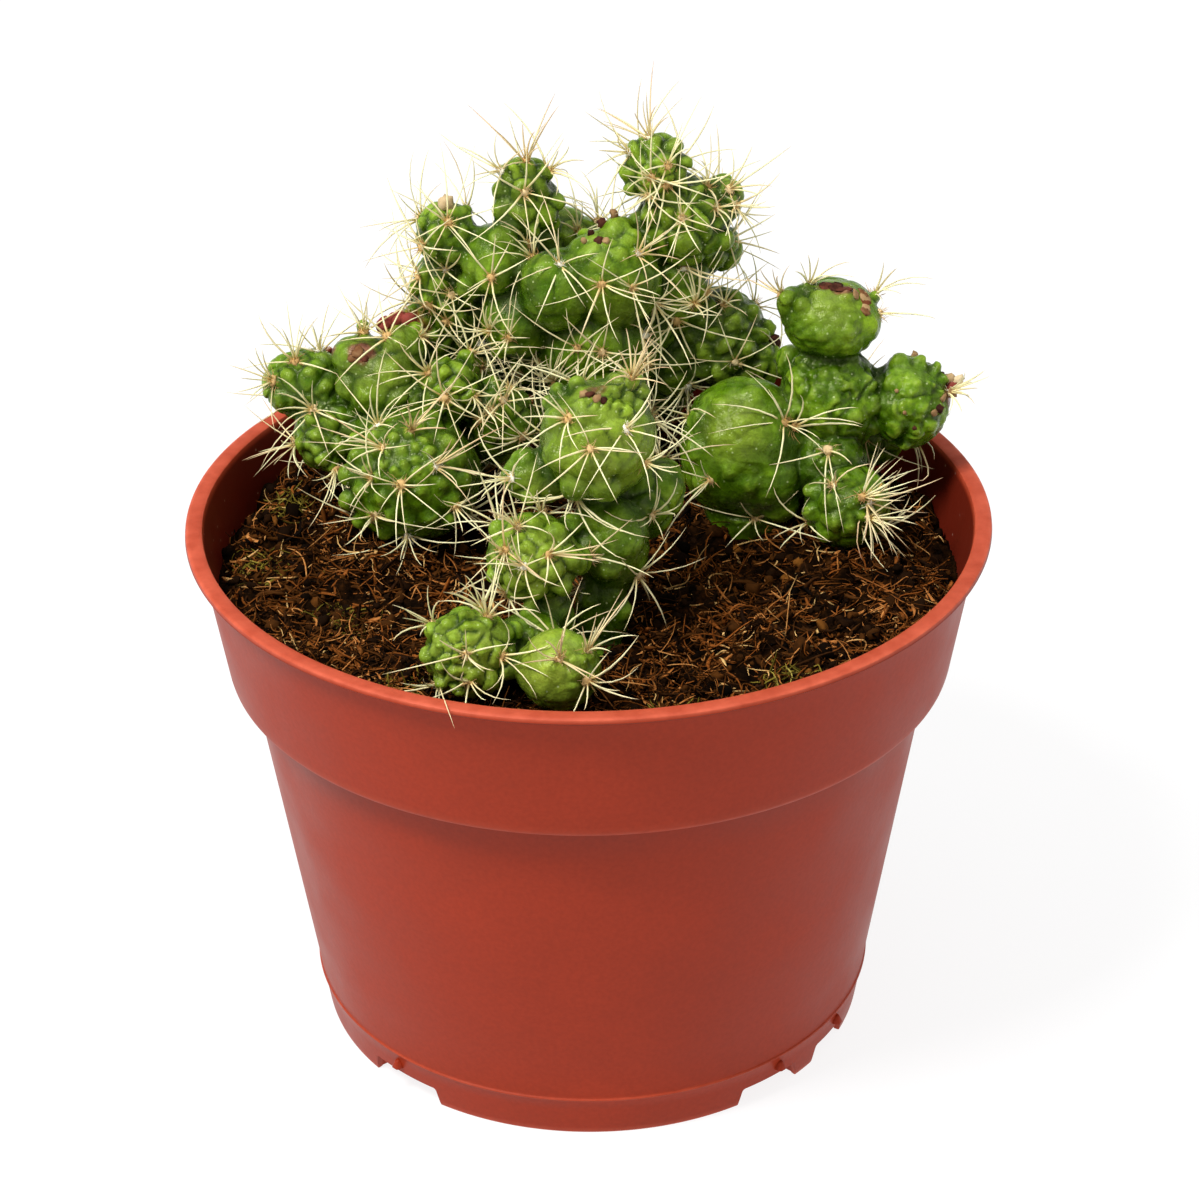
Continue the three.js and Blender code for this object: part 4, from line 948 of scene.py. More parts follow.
# %% Copying a template many times
def mesh_of(name, places, faces, **values):
    """One object from stacked copies: places is (copies, points, 3)."""
    copies, count = places.shape[:2]
    stacked = (faces[None] + (np.arange(copies) * count)[:, None, None]).reshape(-1, 3)
    mesh = bpy.data.meshes.new(name)
    mesh.vertices.add(copies * count)
    mesh.vertices.foreach_set("co", places.ravel())
    mesh.loops.add(len(stacked) * 3)
    mesh.loops.foreach_set("vertex_index", stacked.ravel().astype(np.int32))
    mesh.polygons.add(len(stacked))
    mesh.polygons.foreach_set("loop_start", np.arange(0, len(stacked) * 3, 3, dtype=np.int32))
    mesh.update(calc_edges=True)
    mesh.validate()
    piece = bpy.data.objects.new(name, mesh)
    shade_smooth(piece)
    bpy.context.scene.collection.objects.link(piece)
    for key, value in values.items():
        set_values(piece, key, np.broadcast_to(value, (copies, count)))
    return piece


def bent_copies(name, template, curves, widths, sideways, tones):
    """Copies of a strand, each bent along its own curve of four control points."""
    places, faces = template
    t = places[:, 2]
    weights = np.stack([(1 - t) ** 3, 3 * t * (1 - t) ** 2, 3 * t * t * (1 - t), t**3], 1)
    slopes = np.stack(
        [-3 * (1 - t) ** 2, 3 * (1 - t) * (1 - 3 * t), 3 * t * (2 - 3 * t), 3 * t * t], 1
    )
    along = np.einsum("vk,nkj->nvj", weights, curves)
    ahead = unit(np.einsum("vk,nkj->nvj", slopes, curves))
    sideways = sideways[:, None, :]
    side = unit(sideways - ahead * np.sum(sideways * ahead, -1, keepdims=True))
    other = np.cross(ahead, side)
    flat = widths[:, None, None]
    bent = along + side * places[None, :, :1] * flat + other * places[None, :, 1:2] * flat
    return mesh_of(name, bent, faces, along=t[None, :], tone=np.asarray(tones)[:, None])


# %% Where the lobes are, so that loose pieces and spines stay out of them
def lobe_axes(lobe):
    at, (width, length), faces = lobe[:3]
    turned = Vector((0, 0, 1)).rotation_difference(Vector(faces).normalized()).to_matrix()
    centre = np.array([at[0], at[1], SOIL_TOP + at[2]])
    return centre, np.array(turned), np.array([width, width, length])


def depth_in(lobe, places, margin=0.0):
    """How deep points lie in a lobe: under 1 is inside."""
    centre, turned, size = lobe_axes(lobe)
    return np.linalg.norm((places - centre) @ turned / (size + margin), axis=-1)


def inside_lobes(places, margin):
    lobes = [lobe for stem in LOBES.values() for lobe in stem]
    return np.min([depth_in(lobe, places, margin) for lobe in lobes], axis=0) < 1


# %% The bed of mix
BED_CELLS, BED_RADIUS = 200, 58.9
BED_SKIRT = [(58.0, 74.0), (56.4, 67.2), (53.2, 66.8), (44.1, 5.35)]


def bed_height(x, y):
    """The mix's surface with its clods and crumbs."""
    spot = np.stack([x, y, np.zeros_like(x)], 1)
    lumps = 1.7 * noise(spot, 9.0, 3, 2) + 3.2 * np.abs(noise(spot, 4.2, 5, 3))
    lumps = lumps + 0.6 * noise(spot, 1.4, 8, 2)
    edge_drop = 1.6 * smoothstep(54, 59, np.hypot(x, y))
    return soil_height(x, y) + lumps - 1.1 - edge_drop


deselect()
bpy.ops.mesh.primitive_grid_add(x_subdivisions=BED_CELLS, y_subdivisions=BED_CELLS, size=2)
bed = bpy.context.object
bed.name = "peat_bed"
places = points_of(bed)
flat_x, flat_y = places[:, 0].copy(), places[:, 1].copy()
places[:, 0] = BED_RADIUS * flat_x * np.sqrt(1 - flat_y**2 / 2)
places[:, 1] = BED_RADIUS * flat_y * np.sqrt(1 - flat_x**2 / 2)
places[:, 2] = bed_height(places[:, 0], places[:, 1])
set_points(bed, places)
edit(bed)
bpy.ops.mesh.region_to_loop()
extrude_rings([(BED_RADIUS, SOIL_TOP), BED_SKIRT[0]])
bpy.ops.transform.resize(value=(1, 1, 0), center_override=(0, 0, BED_SKIRT[0][1]))
extrude_rings(BED_SKIRT)
bpy.ops.mesh.edge_face_add()
bpy.ops.mesh.select_all(action="SELECT")
bpy.ops.mesh.normals_make_consistent(inside=False)
deselect()
shade_smooth(bed)

peat, tree = new_material("damp_peat", Roughness=0.9, IOR=1.45, Specular_IOR_Level=0.04)
crumbs = grain(tree, 2.5, 6.0, 0.7)
colour = ramp(tree, crumbs, (0.35, "060200"), (0.5, "160A02"), (0.62, "2E1806"), (0.75, "583410"))
dress(peat, (crumbs, 0.9, 1.2), Base_Color=colour)
finished(bed, peat, "potting_mix")

# %% [markdown]
# ## Loose crumbs, shreds and fibres
# Coir is husk fibre, milled into thin curled shreds, orange-brown when dry and nearly black
# when damp. The tone of each copy picks its colour on one ramp, so a dry shred can lie beside
# a wet one. Moss is made the same way, in short upright olive strands by the wall.

# %% The loose pieces' materials
FLECK_SHARE = 0.24


def loose_material(name, roughness, *stops):
    """Plant matter whose colour comes from each copy's own tone, with a fine fleck."""
    material, tree = new_material(name, Roughness=roughness, IOR=1.45, Specular_IOR_Level=0.06)
    fleck = grain(tree, 0.8, 3.0)
    flecked = calculate(tree, "MULTIPLY_ADD", fleck, FLECK_SHARE, stored(tree, "tone"))
    centred = calculate(tree, "SUBTRACT", flecked, FLECK_SHARE / 2)
    dress(material, (fleck, 0.4, 0.3), Base_Color=ramp(tree, centred, *stops))
    return material


coir = loose_material(
    "dry_coir_shreds", 0.75, (0.0, "080301"), (0.25, "211004"), (0.5, "54300F"),
    (0.7, "90501E"), (0.88, "C68446"), (1.0, "E0B672"),
)
crumb_matter = loose_material(
    "peat_crumbs", 0.9, (0.0, "050200"), (0.5, "1E0F04"), (0.85, "54300F"), (1.0, "80501E")
)
moss_matter = loose_material(
    "dry_moss", 0.8, (0.0, "2E260A"), (0.5, "665A1C"), (0.8, "968432"), (1.0, "BCAC5A")
)

# %% Scattering the loose pieces
SCATTER_RADIUS, SHREDS_END = 58.2, 58.6
CRUMBS = 2600
MOSS_PATCHES = [  # place and width
    (-52, -2, 5.5), (-38, -20, 4), (20, -47, 6), (-28, -40, 4),
    (12, -50, 4), (30, -40, 5), (-49, 16, 4), (44, 34, 4),
]


def scatter(count, random):
    """Random places on the mix, clear of the stems, at the height of its surface."""
    out = SCATTER_RADIUS * np.sqrt(random.random(count))
    turned = 2 * np.pi * random.random(count)
    x, y = out * np.cos(turned), out * np.sin(turned)
    spots = np.stack([x, y, bed_height(x, y)], 1)
    return spots[~inside_lobes(spots + [0, 0, 0.5], -0.3)]


def clumps(count, random):
    """Random places again, most of them in clumps, with dark holes left between."""
    spots = scatter(count, random)
    share = smoothstep(-0.3, 0.12, noise(spots * [1, 1, 0], 3.6, 61, 2))
    return spots[random.random(len(spots)) < share]


def moss_spots(count, random):
    """Patches of so many strands each, by the wall and in front of the right stem."""
    found = []
    for x, y, spread in MOSS_PATCHES:
        spot = random.normal(0, spread / 2, (count, 2)) + [x, y]
        found.append(np.column_stack([spot, bed_height(spot[:, 0], spot[:, 1])]))
    return np.concatenate(found)


def shreds(
    name, seed, count, lengths, widths, curl, lift, tones,
    template=FIBRE, material=coir, spots=clumps,
):
    """Bent copies of a strand, laid on the mix, clear of the stems and the wall."""
    random = np.random.default_rng(seed)
    feet = spots(count, random)
    number = len(feet)
    length = random.uniform(*lengths, number)
    heading = 2 * np.pi * random.random(number)
    rise = random.uniform(*lift, number)
    ahead = unit(np.stack([np.cos(heading), np.sin(heading), rise], 1))
    knots = [feet - ahead * length[:, None] / 2]
    for _ in range(3):
        wander = random.normal(0, curl, (number, 3)) * [1, 1, 0.55]
        knots.append(knots[-1] + unit(ahead + wander) * length[:, None] / 3 * 1.2)
    curves = np.stack(knots, 1)
    ground = bed_height(curves[:, :, 0].ravel(), curves[:, :, 1].ravel()).reshape(number, 4)
    curves[:, :, 2] = np.maximum(curves[:, :, 2], ground + 0.05)
    kept = (np.hypot(curves[:, :, 0], curves[:, :, 1]) < SHREDS_END).all(1)
    kept &= ~inside_lobes(curves.reshape(-1, 3), 0.1).reshape(number, 4).any(1)
    sideways = unit(random.normal(0, 1, (number, 3)) + [0, 0, 0.4])
    tone = np.clip(random.normal(*tones, number), 0, 1)
    thickness = random.uniform(*widths, number)
    piece = bent_copies(name, template, curves[kept], thickness[kept], sideways[kept], tone[kept])
    finished(piece, material)


random = np.random.default_rng(41)
feet = scatter(CRUMBS, random)
number = len(feet)
size = 0.25 + 0.95 * random.random(number) ** 2.5
bumpy = 1 + random.uniform(-0.3, 0.3, (number, len(CRUMB[0]), 1))
turned, axes = 6.3 * random.random(number), random.normal(0, 1, (number, 3))
turns = np.array([Matrix.Rotation(angle, 3, Vector(axis)) for angle, axis in zip(turned, axes)])
stretch = random.uniform(0.6, 1.35, (number, 1, 3))
places = np.einsum("nvj,nkj->nvk", CRUMB[0][None] * bumpy * stretch, turns)
places *= size[:, None, None]
places += (feet + [0, 0, 0.1])[:, None, :]
tone = np.clip(random.normal(0.45, 0.24, number), 0, 1)[:, None]
finished(mesh_of("peat_crumbs", places, CRUMB[1], tone=tone), crumb_matter)

shreds("coir_fibres", 42, 8200, (3.0, 9.0), (0.08, 0.17), 0.95, (-0.15, 0.5), (0.52, 0.24))
shreds("fine_coir", 45, 8000, (1.5, 5.0), (0.07, 0.15), 1.2, (-0.2, 0.8), (0.45, 0.26))
shreds("coir_shreds", 43, 6600, (1.5, 5.0), (0.2, 0.55), 0.8, (-0.3, 0.8), (0.42, 0.24), RIBBON)
shreds(
    "moss_strands", 44, 70, (1.5, 4.0), (0.1, 0.2), 0.6, (0.0, 1.2), (0.5, 0.22),
    material=moss_matter, spots=moss_spots,
)

# %% [markdown]
# ## The skin
# Cactus skin is green flesh under clear wax. It is mid green, yellower where it is young or
# stretched, and faintly greyed by a whitish wax film that is painted stronger on upward-facing
# skin, partly as real wax and partly as painted sheen. Where it lies in shadow and in the
# creases and joins between lobes, it is painted darker as shade. Wax gives a wet-looking
# sheen with an IOR of 1.45 and a roughness near 0.25, and light goes a millimetre or so into
# the flesh. Fine pale dots are pores. Each point of a stem carries how deep it lies in a
# crease, how young its tubercle is, how scarred, how red and how wrinkled, and the material
# reads those by name.

# %% The skin's material
WAX_IOR = 1.45
BLOOM_AND_SHEEN_SHARE, PORE_SHARE, MARBLE_RELIEF = 0.2, 0.55, 0.7

skin, tree = new_material(
    "waxy_cactus_skin",
    IOR=WAX_IOR,
    Specular_IOR_Level=0.36,
    Specular_Tint=(1.0, 0.98, 0.62, 1.0),
    Subsurface_Weight=0.08,
    Subsurface_Radius=(0.7, 1.0, 0.3),
    Subsurface_Scale=1.4 * MM,
)
patches = grain(tree, 7, 5.0, 0.6)
flesh = ramp(tree, patches, (0.34, "2C4A02"), (0.46, "436604"), (0.56, "587C0A"), (0.68, "7A9C1C"))
# The darkest of these tints is painted shade, for flesh that lies in shadow.
TINTS = {"pale": "93A636", "painted_shade_patch": "3C5206", "young": "7E9A2C", "crest": "86A22A"}
for key, tint in TINTS.items():
    flesh = blend(tree, stored(tree, key), flesh, tint)
marble = grain(tree, 1.6, 4.0, 0.65)
flesh = blend(tree, 1.0, flesh, mapped(tree, marble, 0.3, 0.7, 0.68, 1.28), "MULTIPLY")
# Creases and joins between lobes are painted darker: painted shade.
flesh = blend(tree, stored(tree, "crease"), flesh, "243E00")
# A whitish wax film, strongest on upward-facing skin: partly real wax, partly painted sheen.
bloom_and_sheen = mapped(tree, grain(tree, 4, 5.0, 0.7), 0.45, 0.75, 0.0, BLOOM_AND_SHEEN_SHARE)
flesh = blend(tree, calculate(tree, "MULTIPLY", bloom_and_sheen, stored(tree, "bloom_and_sheen")), flesh, "A0B662")
pore_distance = texture(tree, "TexVoronoi", 1.5, "Distance")
flesh = blend(tree, mapped(tree, pore_distance, 0.14, 0.07, 0.0, PORE_SHARE), flesh, "C4D296")
flesh = blend(tree, stored(tree, "red"), flesh, "8C3530")
cork = ramp(tree, grain(tree, 1.2, 5.0), (0.35, "40221A"), (0.55, "704030"), (0.75, "A67A5C"))
flesh = blend(tree, stored(tree, "scar"), flesh, cork)
gloss = mapped(tree, marble, 0.3, 0.7, 0.18, 0.34)
fold_distance = texture(
    tree, "TexVoronoi", 1.9, "Distance", {"Smoothness": 0.4}, feature="SMOOTH_F1"
)
fold_top = mapped(tree, fold_distance, 0.0, 0.8, 1.0, 0.0)
fold_height = calculate(tree, "MULTIPLY", fold_top, stored(tree, "wrinkle"))
skin_height = calculate(tree, "MULTIPLY_ADD", marble, MARBLE_RELIEF, fold_height)
dress(skin, (skin_height, 0.9, 0.6), Base_Color=flesh, Roughness=gloss)

# %% [markdown]
# ## Shaping a stem
# Balls are added at each lobe's size and place, fused by a voxel remesh as flesh is fused,
# and then tubercles are raised on the fused skin. A tubercle is a dome round its own tip
# that ends where the next one begins, so we measure from every point the nearest and the
# second nearest tip: half way between them lies the crease. Sculpting by hand could do the
# same, but it could not be repeated.

# %% Stem helpers
VOXELS = {"back_stem": 0.44, "left_stem": 0.34, "front_stem": 0.34, "right_stem": 0.34}
ROOT_DEPTH, ROOT_Z = 12, SOIL_TOP - 3


def fused_form(name):
    """The stem's lobes and roots as one smooth closed skin."""
    parts = []
    for lobe in LOBES[name]:
        centre, turned, size = lobe_axes(lobe)
        deselect()
        bpy.ops.mesh.primitive_ico_sphere_add(subdivisions=5, radius=1)
        ball = bpy.context.object
        stretch = Matrix(turned.tolist()).to_4x4() @ Matrix.Diagonal((*size, 1))
        ball.data.transform(Matrix.Translation(centre) @ stretch)
        parts.append(ball)
    for x, y, z, radius in BALLS[name]:
        deselect()
        bpy.ops.mesh.primitive_ico_sphere_add(subdivisions=3, radius=radius, location=(x, y, z))
        parts.append(settled(bpy.context.object))
    for x, y, radius in rows_of(ROOTS[name], ","):
        deselect()
        bpy.ops.mesh.primitive_cone_add(
            vertices=48, radius1=radius * 0.6, radius2=radius, depth=ROOT_DEPTH,
            location=(x, y, ROOT_Z),
        )
        parts.append(settled(bpy.context.object))
    form = join(parts, name + "_flesh")
    apply_modifier(form, "REMESH", mode="VOXEL", voxel_size=VOXELS[name], adaptivity=0.0)
    apply_modifier(form, "SMOOTH", factor=0.5, iterations=3)
    return form


def nearest_point(places, spot):
    return int(np.argmin(np.linalg.norm(places - spot, axis=1)))


def spread(places, spacing, taken, allowed, random):
    """Picks points at least their spacing apart, and apart from those taken already."""
    free = allowed.copy()
    for spot in taken:
        free &= np.linalg.norm(places - spot, axis=1) > spacing
    chosen = []
    while free.any():
        pick = random.choice(np.flatnonzero(free))
        chosen.append(pick)
        free &= np.linalg.norm(places - places[pick], axis=1) > spacing[pick]
    return chosen


def nearest_two(places, tips):
    """The nearest tip, how far on the way to the next one's crease, and how far from it."""
    first, near, next_near = [], [], []
    for chunk in np.array_split(places, max(1, len(places) // 6000)):
        apart = np.linalg.norm(chunk[:, None, :] - tips[None], axis=2)
        order = np.argpartition(apart, 1, axis=1)[:, :2]
        pair = np.take_along_axis(apart, order, 1)
        swap = pair[:, 0] > pair[:, 1]
        order[swap], pair[swap] = order[swap][:, ::-1], pair[swap][:, ::-1]
        first.append(order[:, 0])
        near.append(pair[:, 0])
        next_near.append(pair[:, 1])
    near, next_near = np.concatenate(near), np.concatenate(next_near)
    share = np.clip(2 * near / np.maximum(near + next_near, 1e-6), 0, 1)
    return np.concatenate(first), share, next_near - near


def cavity_of(piece, rounds):
    """How far a point lies below its neighbours' mean, in millimetres: a crease is positive."""
    places, directions = points_of(piece), normals_of(piece)
    ends = np.zeros(len(piece.data.edges) * 2, np.int32)
    piece.data.edges.foreach_get("vertices", ends)
    a, b = ends[0::2], ends[1::2]
    count = np.bincount(a, minlength=len(places)) + np.bincount(b, minlength=len(places))
    mean = places.copy()
    for _ in range(rounds):
        total = np.zeros_like(mean)
        np.add.at(total, a, mean[b])
        np.add.at(total, b, mean[a])
        mean = total / count[:, None]
    return np.sum((mean - places) * directions, axis=1)


# %% Scars, red blushes, flesh that is paler than the rest, and painted shade where it lies in shadow
MARKS = {  # how much of a mark is core, then its places, reaches and strengths
    "scar": (0.6, """
-36.2 17 108.5 2.6 1, -41.7 19 107.8 1.6 1, -34.5 16.5 109.5 1.8 0.9, 40.4 15.5 120.1 2.6 0.95,
37.8 16.5 120.3 1.8 0.7, 44 12.6 118 1.5 0.7, 1.1 -22 121.4 2.2 0.75, 1.2 30 122 3 0.8,
58.5 14 101 2.4 0.9, 56.6 11.5 96 1.2 0.7, 15.8 25.4 119.2 1.1 0.8, -0.6 -28.6 111.9 0.8 0.7"""),
    "red": (0.6, """
-31.1 26 109 4.2 0.9, 31.6 33 101.4 3 0.9, -28 26.5 108.5 3 0.7"""),
    "pale": (0.3, """
2 -24 113 12 0.55, -7.4 -22 105 6 0.6, 5.8 -20 121 5 1, -8.3 -31 96 9 0.9, -17.5 -45 88 9 1,
-6 -48 89 8 1, -33 18 106 9 0.55, 23 4 101 9 0.5, 38.8 14 117 7 0.4, -9.7 28 131 7 0.35,
12 25 131 9 0.3, 4 20 116 8 0.3"""),
    # Painted shade: places where flesh lies in shadow are darkened.
    "painted_shade_patch": (0.3, """
3.7 -26 93 9 0.8, 22 28 103 13 1, -41 15 93 7 0.6, -20 28 95 13 0.6, 8 26 100 14 0.5,
25 4 86 9 0.4, -14 12 92 7 0.6, -26 14 103 6 0.6, -20 10 96 7 0.5, 41 0 88 7 0.3,
0 -42 82 7 0.3"""),
}

# %% Growing the stems
CROWN_BUMP, CROWN_EDGE, CROWN_FULL = 2.5, math.cos(math.radians(38)), 0.96
SMALL_LUMP, LEAST_GAP, LEAST_SHOWN = 2.6, 1.2, 1.5
GROOVE_WIDTH, TOUCH_REACH, CAVITY_RANGE = 0.6, 3.2, (0.02, 0.2)
SKIN_POINTS = []


def star_points(name, places, shown, gap, random):
    """The numbers of the points that bear areoles: first those of the table, then by rule."""
    wool = [nearest_point(places, spot) for spot, _ in star_rows(STARS[name])]
    return wool + spread(places, np.maximum(gap, 1), places[wool], shown & (gap > 0), random)


def bare_tips(name, places, wool, bump, random):
    """The numbers of the points that are tips of tubercles without areoles."""
    bare = []
    for x, y, z, radius in BALLS[name]:
        ball = np.array([x, y, z])
        to_wool = np.min(np.linalg.norm(places[wool] - ball, axis=1))
        if radius < SMALL_LUMP and to_wool > radius * 1.3:
            inner = min(LOBES[name], key=lambda lobe: depth_in(lobe, ball[None])[0])
            top = ball + radius * unit(ball - lobe_axes(inner)[0])
            bare.append(nearest_point(places, top))
    everywhere = np.ones(len(places), bool)
    return bare + spread(places, bump, places[wool + bare], everywhere, random)


def make_stem(name):
    """Grows one stem, and gives each areole's place, direction, youth and known tips."""
    random = np.random.default_rng(SEEDS[name])
    form = fused_form(name)
    places, directions = points_of(form), normals_of(form)
    lobes = LOBES[name]
    others = [lobe for key in LOBES if key != name for lobe in LOBES[key]]
    depths = np.array([depth_in(lobe, places) for lobe in lobes])
    which = np.argmin(np.abs(depths - 1), axis=0)
    kinds = np.array([lobe[3] for lobe in lobes])
    bump, relief, wrinkle, gap, crowned = kinds[which].T

    crown = np.zeros(len(places))
    for index, lobe in enumerate(lobes):
        centre, turned, _ = lobe_axes(lobe)
        facing = unit(places - centre) @ turned[:, 2]
        share = smoothstep(CROWN_EDGE, CROWN_FULL, facing)
        crown = np.where(which == index, share * crowned, crown)
    bump = bump + (CROWN_BUMP - bump) * crown

    ground = soil_height(places[:, 0], places[:, 1])
    clear = np.min([depth_in(other, places, LEAST_GAP) for other in others], axis=0) > 1
    shown = (places[:, 2] > ground + LEAST_SHOWN) & clear
    wool = star_points(name, places, shown, gap, random)
    tips = np.array(wool + bare_tips(name, places, wool, bump, random))
    apart = np.linalg.norm(places[tips][:, None] - places[tips][None], axis=2)
    apart += 99 * np.eye(len(tips))
    height = 0.6 * relief[tips] * random.uniform(0.7, 1.3, len(tips))
    height = np.minimum(height, 0.16 * apart.min(axis=1))

    warp = np.stack([noise(places, 5.0, seed, 2) for seed in (21, 22, 23)], 1)
    first, share, between = nearest_two(places + 0.9 * warp, places[tips])
    dome = (1 - share**2.2) ** 1.15
    swell = (0.85 - 0.6 * np.minimum(relief / 0.6, 1)) * noise(places, 8.0, 31, 2)
    folds = smoothstep(0.0, 0.2, np.abs(noise(places + 0.8 * warp, 4.6, 33, 2)))
    groove = 0.45 * relief * np.exp(-((between / GROOVE_WIDTH) ** 2))
    everywhere = np.ones(len(places), bool)
    small = np.array(spread(places, np.clip(bump * 0.62, 1.7, 3.0), [], everywhere, random))
    pad = 1 - nearest_two(places + 0.6 * warp[:, [1, 2, 0]], places[small])[1] ** 2.6
    lift = height[first] * (dome - 0.45) - groove + 0.2 * np.minimum(relief, 1) * (pad - 0.5)
    lift = lift + swell + wrinkle * 0.5 * (folds - 0.8)
    lift *= smoothstep(-2.5, 1.0, places[:, 2] - ground + 1.0)
    set_points(form, places + directions * lift[:, None])

    cavity = cavity_of(form, 6)
    places, directions = points_of(form), normals_of(form)
    widths = np.array([min(lobe[1]) for lobe in lobes])
    beside = np.sort((depths - 1) * widths[:, None], axis=0)[1]
    # Darker near other lobes and in creases: painted shade.
    join_painted_shade = 0.6 * (1 - smoothstep(0.0, TOUCH_REACH, beside))
    crease = smoothstep(0.8, 1.0, share) * 0.3 + smoothstep(*CAVITY_RANGE, cavity) * 0.8
    set_values(form, "crease", np.clip(crease + join_painted_shade, 0, 1))
    set_values(form, "crest", 0.6 * smoothstep(*CAVITY_RANGE, -cavity))
    set_values(form, "young", np.clip(crown * 0.8 * dome, 0, 1))
    set_values(form, "wrinkle", wrinkle)
    # The wax film is strongest on upward-facing skin: partly real wax, partly painted sheen.
    set_values(form, "bloom_and_sheen", np.clip(0.35 + 0.65 * directions[:, 2], 0, 1))
    for key, (core, table) in MARKS.items():
        value = np.zeros(len(places))
        for *spot, reach, strength in rows_of(table, ","):
            apart = np.linalg.norm(places - spot, axis=1) + 0.7 * noise(places, 1.6, 51, 2)
            value = np.maximum(value, strength * (1 - smoothstep(reach * core, reach, apart)))
        set_values(form, key, value)
    shade_smooth(form)
    known = [tips for _, tips in star_rows(STARS[name])]
    known += [[]] * (len(wool) - len(known))
    SKIN_POINTS.append((places, directions))
    finished(form, skin, name)
    print(name, "areoles:", len(wool), "tubercles:", len(tips))
    return [(places[i], directions[i], crown[i], tips) for i, tips in zip(wool, known)]


AREOLES = {name: make_stem(name) for name in LOBES}

# %% [markdown]
# ## Spines
# From each areole a star of spines spreads: thin, stiff and slightly arched, horn-coloured
# and gold at the foot, cream along the shaft and tan at the tip. One spine is modelled
# once, with four sides, and bent along its own curve at every place. Where the photo shows
# a spine's tip, its curve ends there. A spine by rule that would run into flesh, mix or wall
# is raised, then shortened, then left out.

# %% The spine's material
HORN_IOR = 1.54

spine_matter, tree = new_material(
    "horny_cactus_spine", Roughness=0.42, IOR=HORN_IOR, Specular_IOR_Level=0.4
)
along = stored(tree, "along")
pale = [(0.0, "E0B860"), (0.08, "F6E4A0"), (0.25, "FDF6C2"), (0.8, "FDF6C2"), (1.0, "EED8A4")]
tan = [(0.0, "DDB056"), (0.12, "EED090"), (0.5, "ECCC9A"), (0.8, "DFB288"), (1.0, "C89672")]
colour = blend(tree, stored(tree, "tone"), ramp(tree, along, *pale), ramp(tree, along, *tan))
dress(spine_matter, Base_Color=colour)

# %% The spine template and its stars
SPINE = strand_template(
    4, (0, 1.0), (0.2, 0.95), (0.42, 0.85), (0.64, 0.68), (0.84, 0.42), (1, 0.1)
)
SPINE_RADIUS, SPINE_LENGTH = (0.12, 0.2), (8.5, 13.5)
WALL_INSIDE = 59.6
TILTS = {"central": (5, 30), "young": (22, 58), "grown": (42, 66)}  # degrees from upright
TRIES = ((0, 1), (0.2, 1), (0.4, 1), (0.6, 0.85), (0.75, 0.7))  # how raised, how long
FULL_STARS = {"back_stem": 8, "left_stem": 9, "front_stem": 7, "right_stem": 0}
LONE_SPINES = {  # four knots along each, then its tone
    "front_stem": "-21.8 -47.6 85 -21.4 -55 88.8 -20.2 -61.5 90.6 -19 -65.2 88.9 0.5",
    "right_stem": """
43.2 -2 86.2 43.7 -5 84.2 45.8 -6 81.8 48.6 -8 79.8 0.1,
46.5 2 91.9 41.2 -3.5 88.6 41.6 -5 84.6 43.8 -5.4 81 1.0,
53.4 14 92.5 54.6 12.4 90 56.4 11 87.4 52.2 8.6 88.8 0.6""",
}


def blocked(points):
    """True where a spine's points run into the mix, the wall or flesh."""
    low = points[:, 2] < soil_height(points[:, 0], points[:, 1]) + 0.6
    out = np.hypot(points[:, 0], points[:, 1])
    wall = (points[:, 2] < POT_HEIGHT + 0.4) & (out > WALL_INSIDE)
    return low[1:].any() or wall.any() or inside_lobes(points, 0.55).any()


def known_star(place, normal, tips, young, random):
    """Spines to known tips, each bowed outwards and a little sideways."""
    curves, tones = [], []
    for tip in tips:
        chord = tip - place
        length = np.linalg.norm(chord)
        bow = normal * length * random.uniform(0.05, 0.2)
        bow += unit(np.cross(chord, normal)) * length * random.normal(0, 0.06)
        foot = place - normal * 0.3 + unit(chord) * 0.25
        curves.append([foot, place + chord * 0.3 + bow, place + chord * 0.7 + bow * 0.9, tip])
        tones.append(np.clip(random.normal(0.6 if young else 0.1, 0.18), 0, 1))
    return curves, tones


def star(areole, full, random):
    """The curves and tones of one areole's spines; a full star has so many."""
    place, normal, crown, tips = areole
    normal = unit(normal)
    curves, tones = known_star(place, normal, tips, crown > 0.5 and normal[2] > 0.3, random)
    side = np.cross(normal, [0, 0, 1.0])
    side = unit(side if np.linalg.norm(side) > 0.15 else [1.0, 0, 0])
    other = np.cross(normal, side)
    count = int(random.integers(6, 10)) if not tips else max(0, full - len(tips))
    start = random.random() * 2 * np.pi
    young = crown > 0.3
    for i in range(count + (2 if young else 1)):
        central = i >= count
        turned = start + 2 * np.pi * i / max(count, 1) + random.normal(0, 0.16)
        outward = math.cos(turned) * side + math.sin(turned) * other
        kind = "central" if central else "young" if young else "grown"
        tilt = math.radians(random.uniform(*TILTS[kind]))
        length = random.uniform(*SPINE_LENGTH) * (0.9 if central else 1.0)
        if central and not young and (tips or random.random() < 0.6):
            continue
        arch = random.uniform(0.1, 0.4) if young or central else random.uniform(0.35, 0.95)
        swerve = random.normal(0, 0.12)
        droop = outward * 0.8 - normal * 0.9
        foot = place - normal * 0.35 + outward * 0.3
        for raise_by, part in TRIES:
            lean = tilt * (1 - raise_by)
            aim = math.cos(lean) * normal + math.sin(lean) * outward
            sway = np.cross(aim, normal) * swerve
            step = length * part / 3
            a, b = foot, foot + aim * step
            c = b + unit(aim + arch * 0.5 * droop + sway) * step
            d = c + unit(aim + arch * droop + 2 * sway) * step
            if not blocked(np.array([a * 0.3 + b * 0.7, b, c, d, (b + c) / 2, (c + d) / 2])):
                curves.append([a, b, c, d])
                tones.append(np.clip(random.normal(0.65 if young else 0.15, 0.2), 0, 1))
                break
    return curves, tones


